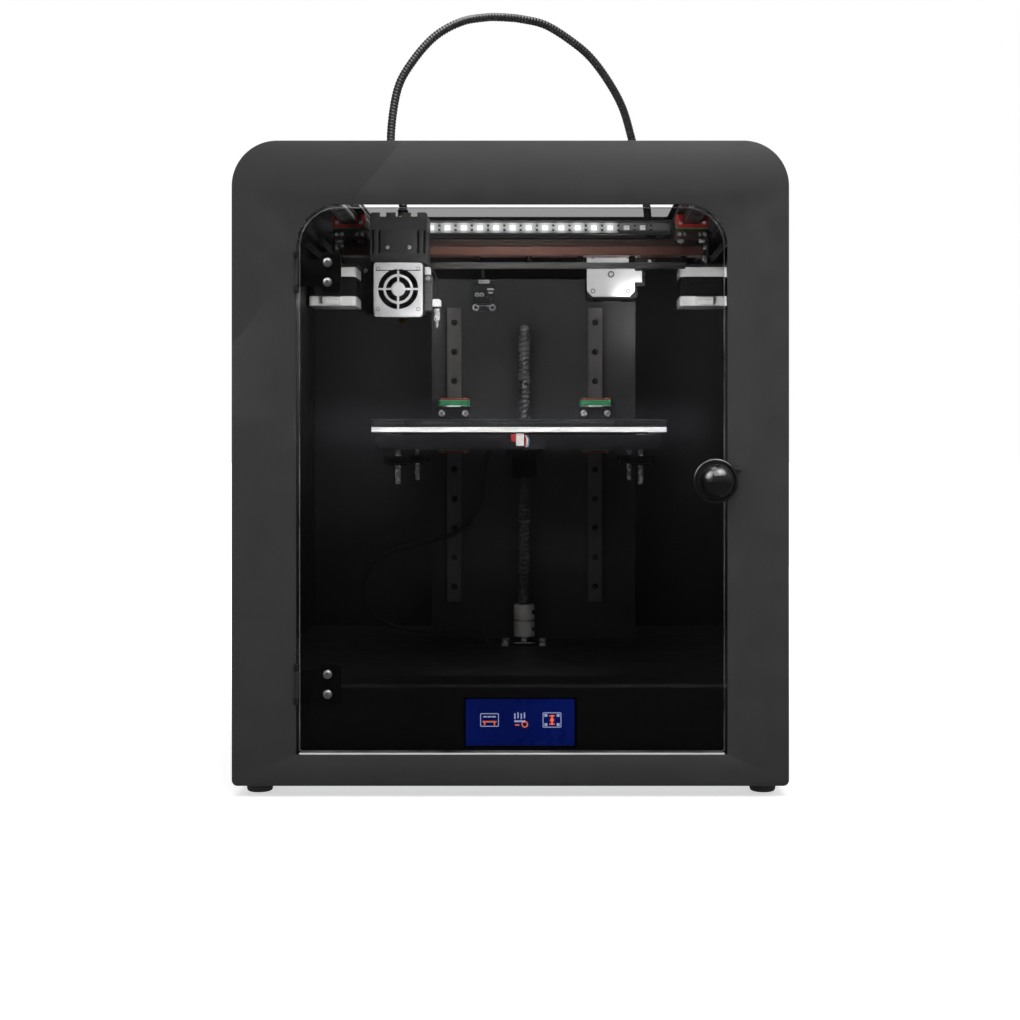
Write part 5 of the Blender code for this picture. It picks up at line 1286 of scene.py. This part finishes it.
def make_probe():
    x, y, tip = -62.0, -11.0, 333.5
    pin = turned([(0, tip), (0.7, tip), (1.0, tip + 0.5), (1.0, tip + 5), (2.1, tip + 5.4), (2.4, tip + 6.0),
                  (2.4, tip + 15.4), (2.0, tip + 16), (0, tip + 16)], (x, y, 0), steps=24)
    arm = plate([rounded(-66.0, 349.6, -58.6, 355.6, (1, 1, 2, 2), 4)], y - 3.4, y + 3.4, "front", 0.4)
    nut = turned([(2.5, 348.0), (3.4, 348.0, "hex"), (3.4, 349.6, "hex"), (2.5, 349.6), (2.5, 348.0)],
                 (x, y, 0), steps=36)
    wire = pipe(smooth_route([(x, y, 355.2), (x + 0.4, y + 0.4, 362), (x - 0.4, y + 2, 372),
                              (-66.2, y + 5, 379.5), (-70.5, y + 7, 383.5)], 1.5), 0.7, 8)
    piece("probe", "head", "steel", (pin, BRIGHT_STEEL), (arm, SILVER_PAINT), (nut, DARK_SCREW),
          (wire, CABLE_BLACK))


def make_fan():
    low, high = span("fan_cover")
    front = low.y
    outline = rounded(low.x, low.z, high.x, high.z, (3, 3, 2.4, 2.4), 5)
    centre = (HEAD_X, FAN_HEIGHT)
    grille = [*ring_sectors(centre, 15.5, 11.5, 0.8), *ring_sectors(centre, 9.5, 5.5, 0.8)]
    face = plate([outline, *grille], front, front + 2.0, "front", 0.35)
    inner = rounded(low.x + 0.3, low.z + 0.3, high.x - 0.3, high.z - 0.3, (2.7, 2.7, 2.1, 2.1), 5)
    body = plate([inner, circle(centre, 17.4, 48)], front + 1.9, high.y, "front", 0.2)
    boss = turned([(0, -1.2), (4.4, -1.2), (4.8, -0.8), (4.8, 0.5), (0, 0.5)],
                  (HEAD_X, front + 0.4, FAN_HEIGHT), BEHIND, 36)
    lip = plate([rounded(low.x + 1.6, high.z - 6.4, high.x - 1.6, high.z - 5.6, 0.3, 2)], front - 0.02,
                front + 0.4, "front", 0.1)
    sunk_head = [(0, 0.3), (1.5, 0.3), (1.5, -0.02), (1.1, -0.02), (0.7, 0.5, "hex"), (0, 0.5)]
    corner_screws = joined(*(turned(sunk_head, (HEAD_X + dx, front, FAN_HEIGHT + dz), BEHIND, 18)
                             for dx, dz in corners(FAN_HOLE)))
    piece("fan_grille", "head", "aluminium", (face, SILVER_PAINT), (boss, SILVER_PAINT), (lip, RUBBER),
          (body, SATIN_BLACK), (corner_screws, DARK_SCREW), stands_for=["fan_cover"])

    low, high = span("fan_rotor")
    hub = turned([(0, low.y + 0.3), (5.8, low.y + 0.3), (6.8, low.y + 1.2), (7.0, low.y + 2.0), (7.0, high.y),
                  (0, high.y)], (HEAD_X, 0, FAN_HEIGHT), BEHIND, 40)
    blades = [fan_blade(360 * i / BLADES, 6.6, 16.3, low.y + 0.9, high.y - 0.6) for i in range(BLADES)]
    piece("fan_wheel", "fan", "black_plastic", (joined(hub, *blades), SATIN_BLACK), stands_for=["fan_rotor"])


def fan_blade(start_deg, inner, outer, front, rear, steps=8, thickness=0.9):
    """A swept blade, twisted from its front edge to its rear edge."""
    points = []
    for i in range(steps + 1):
        share = i / steps
        radius = inner + (outer - inner) * share
        for edge in range(5):
            depth = front + (rear - front) * edge / 4
            angle = start_deg + 16 * share + (34 - 8 * share) * edge / 4
            for side in (-1, 1):
                turn = math.radians(angle) + side * thickness / 2 / radius
                points.append(Vector((HEAD_X + radius * math.cos(turn), depth,
                                      FAN_HEIGHT + radius * math.sin(turn))))
    row, faces = 10, []
    for i in range(steps):
        for edge in range(4):
            a = row * i + 2 * edge
            faces.append([a, a + 2, a + 2 + row, a + row])
            faces.append([a + 1, a + 1 + row, a + 3 + row, a + 3])
        faces += [[row * i, row * i + row, row * i + row + 1, row * i + 1],
                  [row * i + 8, row * i + 9, row * i + row + 9, row * i + row + 8]]
    for first in (0, row * steps):
        faces += [[first + 2 * edge, first + 2 * edge + 1, first + 2 * edge + 3, first + 2 * edge + 2]
                  for edge in range(4)]
    return points, faces


def make_hot_end():
    low, high = span("hot_end")
    x, y = (low.x + high.x) / 2, (low.y + high.y) / 2
    heater = plate([rounded(low.x, low.y + 0.6, high.x, high.y - 0.6, 1.0, 3)], 341.5, 350.0, "top", 0.4)
    cartridge = rod((low.x + 2.5, low.y + 0.1, 345.0), high.y - low.y - 0.2, 2.4, BEHIND, 0.3)
    nozzle = turned([(0, 336.0), (0.6, 336.0), (2.2, 337.8), (3.4, 337.8, "hex"), (3.6, 338.1, "hex"),
                     (3.6, 341.0, "hex"), (3.0, 341.3), (3.0, 341.6), (0, 341.6)], (x, y, 0), steps=36)
    fins = [(0, 349.9), (2.4, 349.9), (2.4, 351.0)]
    for i in range(3):
        z = 351.0 + 1.9 * i
        fins += [(5.4, z), (5.4, z + 0.9), (2.8, z + 0.9), (2.8, z + 1.9)]
    fins = [entry for entry in fins if entry[1] < high.z] + [(0, min(high.z, fins[-1][1]))]
    throat = turned(fins, (x, y, 0), steps=36)
    sleeve = plate([rounded(low.x - 0.01, low.y + 0.5, high.x + 0.01, high.y - 0.5, 1.2, 3)], 342.6, 348.8,
                   "top", 0.3)
    piece("hot_end_parts", "head", "brass", (heater, ALUMINIUM), (cartridge, STEEL), (nozzle, BRASS),
          (throat, ALUMINIUM), (sleeve, RUBBER), stands_for=["hot_end"])


# ---------------------------------------------------------------- extruder

COVER_FRONT = 65.3
EXTRUDER_BOTTOM = 364.8
FEED_MOTOR_LENGTH = 40.0
GUIDE_FRONT, GUIDE_REAR = 66.7, 74.8


def sunk_screw(origin, radius):
    """A screw head facing the front, level with the sheet around it, in a dark rim."""
    return turned([(0, 0.9), (radius, 0.9), (radius, -0.12), (radius - 0.35, -0.16), (radius * 0.55, -0.16),
                   (radius * 0.5, 0.5, "hex"), (0, 0.55)], origin, BEHIND, 24)


def make_extruder():
    shaft_tip = span("extruder_motor")[0].y + 0.8
    centre_x, centre_z, face = 79.8, 386.0, 78.3
    forms = motor_forms(FEED_MOTOR_LENGTH)
    at = {key: moved(form, (centre_x, face, centre_z), FACING["front"]) for key, form in forms.items()}
    shaft = rod((centre_x, shaft_tip, centre_z), face - shaft_tip, SHAFT_RADIUS, BEHIND)
    piece("feed_motor", "root", "black_steel", (at["caps"], SATIN_BLACK), (at["stack"], SHEET_STACK_DEEP),
          (joined(at["screws"], at["pins"], shaft), BRIGHT_STEEL), (at["plug"], WHITE_PLASTIC),
          stands_for=["extruder_motor"])

    left, right, bottom, top = 58.6, 101.0, EXTRUDER_BOTTOM, 407.2
    outline = [(left + 5, bottom), (right - 5, bottom), (right - 1, bottom + 4), (right - 1, 376.8),
               (right + 4.6, 376.8), (right + 4.6, 389), (right, 389), (right, top - 1), (right - 1, top),
               (left + 1, top), (left, top - 1), (left, bottom + 5)]
    mount = plate([outline, circle((centre_x, centre_z), 11.2, 36)], 75.0, 77.9, "front", 0.5)
    cover_outline = [(62.4, bottom), (93.2, bottom), (97.6, bottom + 4.4), (97.6, 376.8), (103.6, 376.8),
                     (103.6, 386.2), (97.6, 386.2), (97.6, 388.6), (93.6, 388.6), (93.6, 403.2),
                     (92.4, 404.0), (59.0, 404.0), (57.8, 403.2), (57.8, bottom + 4.6)]
    cover = plate([cover_outline], COVER_FRONT, COVER_FRONT + 1.2, "front", 0.3)
    rims = joined(*(block((x0, COVER_FRONT + 1.1, 371), (x0 + 1.0, 74.9, 386), 0.2) for x0 in (57.9, 96.5)))
    cover_screws = joined(each(sunk_screw, [(x, COVER_FRONT, z) for z in (398.4, 369.4)
                                            for x in (62.8, 92.0)], 2.1),
                          sunk_screw((77.8, COVER_FRONT, 383.4), 2.8))
    screws = joined(each(cap_screw, [(centre_x + dx, 75.1, centre_z + dz) for dx, dz in corners(MOTOR_HOLE)],
                         AHEAD, 2.7, 2.4),
                    button_screw((centre_x, 75.1, bottom + 5.2), AHEAD, 2.2, 1.3))
    guide = plate([rounded(94.5, 391.0, 114.8, 406.0, (1, 1, 3, 3), 5)], GUIDE_FRONT, GUIDE_REAR,
                  "front", 0.6)
    idler_block = plate([rounded(94.5, 374.2, 106.0, 390.8, (3, 1, 1, 1), 5)], GUIDE_FRONT, GUIDE_REAR,
                        "front", 0.6)
    rear_block = block((102.5, 77.0, 389.5), (114.8, 87.9, 396.0), 0.6)
    bearing = turned([(1.2, 66.9), (4.6, 66.9), (5.0, 67.3), (5.0, 71.6), (4.6, 72.0), (1.2, 72.0),
                      (1.2, 66.9)], (93.0, 0, centre_z), BEHIND, 36)
    body_screws = each(cap_screw, [(x, 66.8, z) for x, z in ((98, 402), (110, 402), (110, 394))], AHEAD, 1.7,
                       0.8)
    piece("feeder_cover", "root", "aluminium", (joined(cover, rims), SILVER_PAINT),
          (cover_screws, HINGE_BOLT))
    piece("feeder_plate", "root", "aluminium", (mount, SATIN_BLACK), (screws, DARK_SCREW),
          (joined(guide, idler_block, rear_block), SATIN_BLACK), (joined(bearing, body_screws), BRIGHT_STEEL),
          stands_for=["extruder_plate"])

    high = span("drive_gear")[1]
    front = COVER_FRONT + 1.6
    gear = turned([(2.8, front), (5.6, front), (6.2, front + 0.3, "teeth"), (6.6, front + 0.8, "teeth"),
                   (6.6, high.y - 2.2, "teeth"), (5.0, high.y - 1.9), (5.0, high.y), (2.8, high.y),
                   (2.8, front)], (centre_x, 0, centre_z), BEHIND, 80)
    piece("feed_gear", "gear", "brass", (gear, BRASS), stands_for=["drive_gear"])

    low, high = span("extruder_lever")
    pivot = (65.3, 372.5)
    arm = [*arc(pivot, 3.8, 150, 345, 14), (70.0, 380.0), (72.2, 388.0), (73.2, 398.0), (71.0, 403.3),
           (65.6, 403.3), (64.4, 398.0), (63.0, 385.0)]
    lever = plate([arm, circle(pivot, 1.6, 20)], low.y, high.y, "front", 0.7)
    pin = cap_screw((pivot[0], low.y + 0.4, pivot[1]), AHEAD, 2.4, 0.3)
    piece("feed_lever", "lever", "black_plastic", (lever, SATIN_BLACK), (pin, BRIGHT_STEEL),
          stands_for=["extruder_lever"])


SWITCH_HOLES = ((-36.3, -22.2), (358.6, 378.2))


def make_limit_switch():
    low, high = span("limit_switch_board")
    front, rear = 99.1, high.y
    holes = [(x, z) for x in SWITCH_HOLES[0] for z in SWITCH_HOLES[1]]
    board = plate([rounded(low.x, low.z, high.x, high.z, 1.2, 4), *(circle(hole, 1.6, 18) for hole in holes)],
                  front, front + 1.6, "front", 0.12)
    lugs = joined(*(turned([(1.65, 0), (2.9, 0), (2.9, 0.3), (1.65, 0.3), (1.65, 0)],
                           (x, front, SWITCH_HOLES[1][0]), AHEAD, 24) for x in SWITCH_HOLES[0]))
    posts = each(rod, [(x, front + 0.8, z) for x, z in holes], rear - front - 0.8, 1.5, BEHIND)
    header = carved(block((-33.8, front - 5.4, 379.0), (-24.6, front + 0.1, 381.7), 0.4),
                    block((-32.9, front - 6, 379.6), (-25.5, front - 1.2, 381.2), 0))
    chips = joined(block((-26.6, front - 0.9, 373.4), (-20.9, front + 0.1, 374.9), 0.2),
                   block((-25.6, front - 0.9, 370.4), (-21.8, front + 0.1, 371.8), 0.2),
                   *(turned([(0.9, 0), (1.9, 0), (1.9, 0.5), (0.9, 0.5), (0.9, 0)], (x, front, 369.4),
                            AHEAD, 18) for x in (-35.2, -31.2)))
    pins = joined(*(block((x - 0.3, front - 4.6, 380.1), (x + 0.3, front, 380.7), 0.1)
                    for x in (-31.4, -29.2, -27)))
    switch = joined(block((-36.0, 93.0, 361.6), (-23.0, 99.0, 367.5), 0.5),
                    block((-34.0, 92.9, 362.6), (-25.0, 93.1, 366.4), 0.05))
    wires = []
    for i in range(2):
        x = -30.4 + 1.3 * i
        route = [(x, front - 2.4, 381.2), (x, front - 2.2, 386), (x - 0.8, front - 0.4, 393),
                 (-34.2 + i, front + 0.6, 398), (-34.6 + i, front + 2.4, 406)]
        wires.append(pipe(smooth_route(route, 2.0), 0.55, 8))
    piece("limit_board", "root", "circuit_black", (board, CIRCUIT_BLACK), (joined(lugs, pins), BRIGHT_STEEL),
          (posts, DARK_SCREW), (joined(header, chips), MARK_GREY), (switch, SATIN_BLACK),
          (joined(*wires), CABLE_BLACK), stands_for=["limit_switch_board"])

    low, high = span("limit_switch_lever")
    strip = [(low.x, low.z + 0.25), (low.x + 1.2, low.z + 0.25), (high.x - 2.4, low.z + 0.1), (high.x, low.z),
             (high.x, low.z + 0.35), (high.x - 2.4, low.z + 0.45), (low.x + 1.2, high.z), (low.x, high.z)]
    lever = plate([strip], low.y + 0.1, high.y - 0.1, "front", 0.05)
    piece("limit_lever_strip", "limit_lever", "steel", (lever, BRIGHT_STEEL),
          stands_for=["limit_switch_lever"])


# ---------------------------------------------------------------- tube and lead

TUBE_RADIUS = 3.4
TUBE_RIB = 0.35
TUBE_RIB_PITCH = 2.6
LEAD_RADIUS = 1.9

# Each point is x, depth behind the front face, and height.
TUBE_LEFT = [(-88.3, 172, 426), (-88.6, 172.2, 433), (-91, 174, 446), (-95.5, 177.5, 463), (-98.5, 180, 485),
             (-94.3, 186, 521), (-84.3, 190, 543), (-65.7, 197, 567), (-44.5, 204, 581), (-24, 211.2, 586.6),
             (-11.0, 215.2, 587.7)]
TUBE_RIGHT = [(-10.9, 215.2, 587.7), (3, 219.3, 587.4), (23.7, 226, 584), (45.9, 234, 572),
              (61.7, 240, 559.5), (76.8, 247, 540.5), (87.8, 253, 521), (95.6, 259, 496.3),
              (103, 264.5, 469), (108.2, 268.5, 444), (109.6, 270, 428), (109.6, 270, 419),
              (109.6, 270, 411.6)]
BED_LEAD = [(-24, 262, 236.5), (-28, 266, 222), (-31, 270, 196), (-40, 272, 178), (-58, 272, 164),
            (-82, 270, 158), (-106, 268, 152), (-124, 266, 138), (-130, 264, 120), (-124, 263, 102),
            (-106, 263, 90), (-80, 263, 85), (-56, 263, 83.5), (-38, 262.6, 84), (-28, 262, 80),
            (-26, 262, 74), (-26, 262, 66)]


def in_place(route):
    return [Vector((x, FRONT + depth, z)) for x, depth, z in route]


def make_tube():
    """The filament tube in its spiral wrap, in two halves. Neither half rides on a body or bends.

    The head moves along X.
    """
    for name, route, node, bodies in (
            ("wrapped_tube_head", TUBE_LEFT, "head_tube", ("gantry", "head")),
            ("wrapped_tube_extruder", TUBE_RIGHT, "extruder_tube", ("root", "gantry"))):
        points = in_place(route)
        form = pipe(smooth_route(points, 0.5), TUBE_RADIUS, 14, TUBE_RIB, TUBE_RIB_PITCH)
        item = piece(name, None, "black_plastic", (form, WRAP_BLACK), stands_for=[node])
        start, end = points[-1] * MM, points[0] * MM
        if node == "head_tube":
            start.x = end.x
        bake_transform(item)


def make_lead():
    points = in_place(BED_LEAD)
    form = pipe(smooth_route(points, 2.0), LEAD_RADIUS, 12, 0.12, 1.4)
    item = piece("bed_cable", None, "black_plastic", (form, CABLE_BLACK), stands_for=["bed_lead"])
    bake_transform(item)


# ---------------------------------------------------------------- mains switch and kept CAD nodes

def make_rocker():
    low, high = span("power_rocker")
    middle_z = (low.z + high.z) / 2
    side = [(low.y, low.z + 0.6), (low.y, high.z - 0.6), (high.y - 1.6, high.z - 0.2),
            (high.y, high.z - 0.9), (high.y - 1.5, middle_z + 2.5), (high.y - 2.3, middle_z),
            (high.y - 2.6, middle_z - 2.5), (high.y - 3.0, low.z + 0.9), (high.y - 3.4, low.z + 0.3)]
    body = plate([side], low.x, high.x, "side", 0.35)
    centre = (low.x + high.x) / 2
    marks = joined(block((centre - 0.35, high.y - 1.1, middle_z + 3.2),
                         (centre + 0.35, high.y - 0.7, middle_z + 5.6), 0.05),
                   plate([circle((centre, middle_z - 4.4), 1.3), circle((centre, middle_z - 4.4), 0.8)],
                         high.y - 3.1, high.y - 2.7, "front", 0.05))
    piece("power_switch", "rocker", "black_plastic", (body, GLOSSY_BLACK), (marks, WHITE_PLASTIC),
          stands_for=["power_rocker"])


def finish_kept_nodes():
    looks = {"base_pan": GALVANISED, "electronics_cover": DECK_COAT, "z_tower_plate": INNER_COAT,
             "upper_frame": INNER_COAT, "bed_frame": BED_COAT, "control_board": CIRCUIT_GREEN,
             "power_supply": GALVANISED}
    for name, look in looks.items():
        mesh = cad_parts[name].data
        mesh.materials.clear()
        mesh.materials.append(look)


# ---------------------------------------------------------------- camera, lights and floor

EYE = (0.027, -1.322, 0.237)
LENS = 58.8
SHIFT = (-0.0392, -0.0588)
FLOOR_GLOW = 0.6
FLOOR_REACH = 30
KNOB = (0.14, -0.2, 0.216)


def make_camera():
    camera = bpy.data.cameras.new("camera")
    camera.lens = LENS
    camera.sensor_width = 36
    camera.shift_x, camera.shift_y = SHIFT
    camera.clip_start, camera.clip_end = 0.05, 60
    item = bpy.data.objects.new("camera", camera)
    item.location = EYE
    item.rotation_euler = (math.pi / 2, 0, 0)
    scene.collection.objects.link(item)
    scene.camera = item


def make_light(name, place, target, size, power, size_y=None, shines=True, lights_surfaces=True, spread=180):
    """An area light. One that doesn't shine leaves no reflection, and a card leaves nothing else."""
    light = bpy.data.lights.new(name, "AREA")
    light.energy = power
    light.size = size
    light.spread = math.radians(spread)
    if size_y:
        light.shape = "RECTANGLE"
        light.size_y = size_y
    item = bpy.data.objects.new(name, light)
    item.location = place
    item.rotation_euler = (Vector(target) - Vector(place)).to_track_quat("-Z", "Y").to_euler()
    item.visible_camera = False
    item.visible_glossy = shines
    item.visible_diffuse = lights_surfaces
    scene.collection.objects.link(item)


def make_world(seen=1.0, below=0.04, above=0.5):
    """White behind the object, and a room that is brighter overhead for everything it lights."""
    world = bpy.data.worlds.new("studio")
    world.use_nodes = True
    tree = world.node_tree
    background = tree.nodes["Background"]
    place = tree.nodes.new("ShaderNodeTexCoord")
    split = tree.nodes.new("ShaderNodeSeparateXYZ")
    tree.links.new(place.outputs["Generated"], split.inputs[0])
    room = ranged(tree, split.outputs["Z"], below, above, (-0.15, 0.9))
    path = tree.nodes.new("ShaderNodeLightPath")
    level = add_node(tree, "ShaderNodeMapRange", To_Max=seen)
    tree.links.new(path.outputs["Is Camera Ray"], level.inputs["Value"])
    tree.links.new(room, level.inputs["To Min"])
    tree.links.new(level.outputs["Result"], background.inputs["Strength"])
    background.inputs["Color"].default_value = (1, 1, 1, 1)
    scene.world = world


def make_floor():
    look = bpy.data.materials.new("floor")
    look.use_nodes = True
    tree = look.node_tree
    shader = tree.nodes["Principled BSDF"]
    for socket, value in (("Base Color", (0.86, 0.86, 0.86, 1)), ("Roughness", 0.9),
                          ("Specular IOR Level", 0.1), ("Emission Color", (1, 1, 1, 1))):
        shader.inputs[socket].default_value = value
    place = tree.nodes.new("ShaderNodeTexCoord")
    distance = tree.nodes.new("ShaderNodeVectorMath")
    distance.operation = "LENGTH"
    tree.links.new(place.outputs["Object"], distance.inputs[0])
    glow = ranged(tree, distance.outputs["Value"], FLOOR_GLOW, 1.05, (0.25, 0.7))
    tree.links.new(glow, shader.inputs["Emission Strength"])
    mesh = bpy.data.meshes.new("floor")
    mesh.from_pydata([(x * FLOOR_REACH, y * FLOOR_REACH, 0) for x, y in ((-1, -1), (1, -1), (1, 1), (-1, 1))],
                     [], [(0, 1, 2, 3)])
    mesh.materials.append(look)
    item = bpy.data.objects.new("floor", mesh)
    item.visible_glossy = False
    scene.collection.objects.link(item)


def make_studio():
    scene.view_settings.view_transform = "Standard"
    scene.view_settings.look = "None"
    make_world()
    make_floor()
    make_light("key", (0.1, -1.2, 1.9), (0, 0, 0.2), 1.5, 24)
    make_light("fill", (-1.6, -1.5, 0.8), (0, 0, 0.25), 1.4, 2)
    make_light("behind", (0.6, 2.0, 0.5), (0, 0, 0.25), 1.2, 12)
    make_light("over_opening", (0.0, -0.03, 0.95), (0, 0.03, 0.2), 0.35, 2.6)
    for place in ((-0.082, -0.275, 0.402), (0.257, -0.29, 0.477)):
        make_light("knob_card", place, KNOB, 0.32, 0.26, lights_surfaces=False, spread=60)
    make_light("inside_right", (0.01, -0.09, 0.33), (0.015, 0.09, 0.375), 0.08, 0.72, shines=False)
    make_light("inside_left", (-0.02, -0.11, 0.33), (-0.12, 0.09, 0.38), 0.08, 0.36, shines=False)
    make_light("inside_low", (0.0, -0.13, 0.14), (0.0, 0.09, 0.12), 0.12, 0.17, shines=False)
    for side in (-1, 1):
        make_light("corner", (0.105 * side, 0.05, 0.345), (0.165 * side, 0.15, 0.385), 0.04, 0.22,
                   shines=False)
    make_light("bed_front", (0.0, -0.26, 0.262), (0.0, -0.17, 0.2525), 0.26, 0.3, size_y=0.01, shines=False,
               spread=34)


def make_printer():
    for make in (make_case, make_front_frame, make_rear, make_feet, make_door, make_screen, make_deck_details,
                 make_inlet, make_rails, make_carriages, make_corner_motors, make_belt_drive, make_screw,
                 make_lift_motor, make_bed, make_bed_details, make_beam, make_gantry_ends, make_light_bar,
                 make_frame_details, make_head, make_head_saddle, make_fittings, make_probe, make_fan,
                 make_hot_end, make_extruder, make_limit_switch, make_tube, make_lead, make_rocker,
                 finish_kept_nodes):
        make()


make_camera()
make_studio()
make_printer()
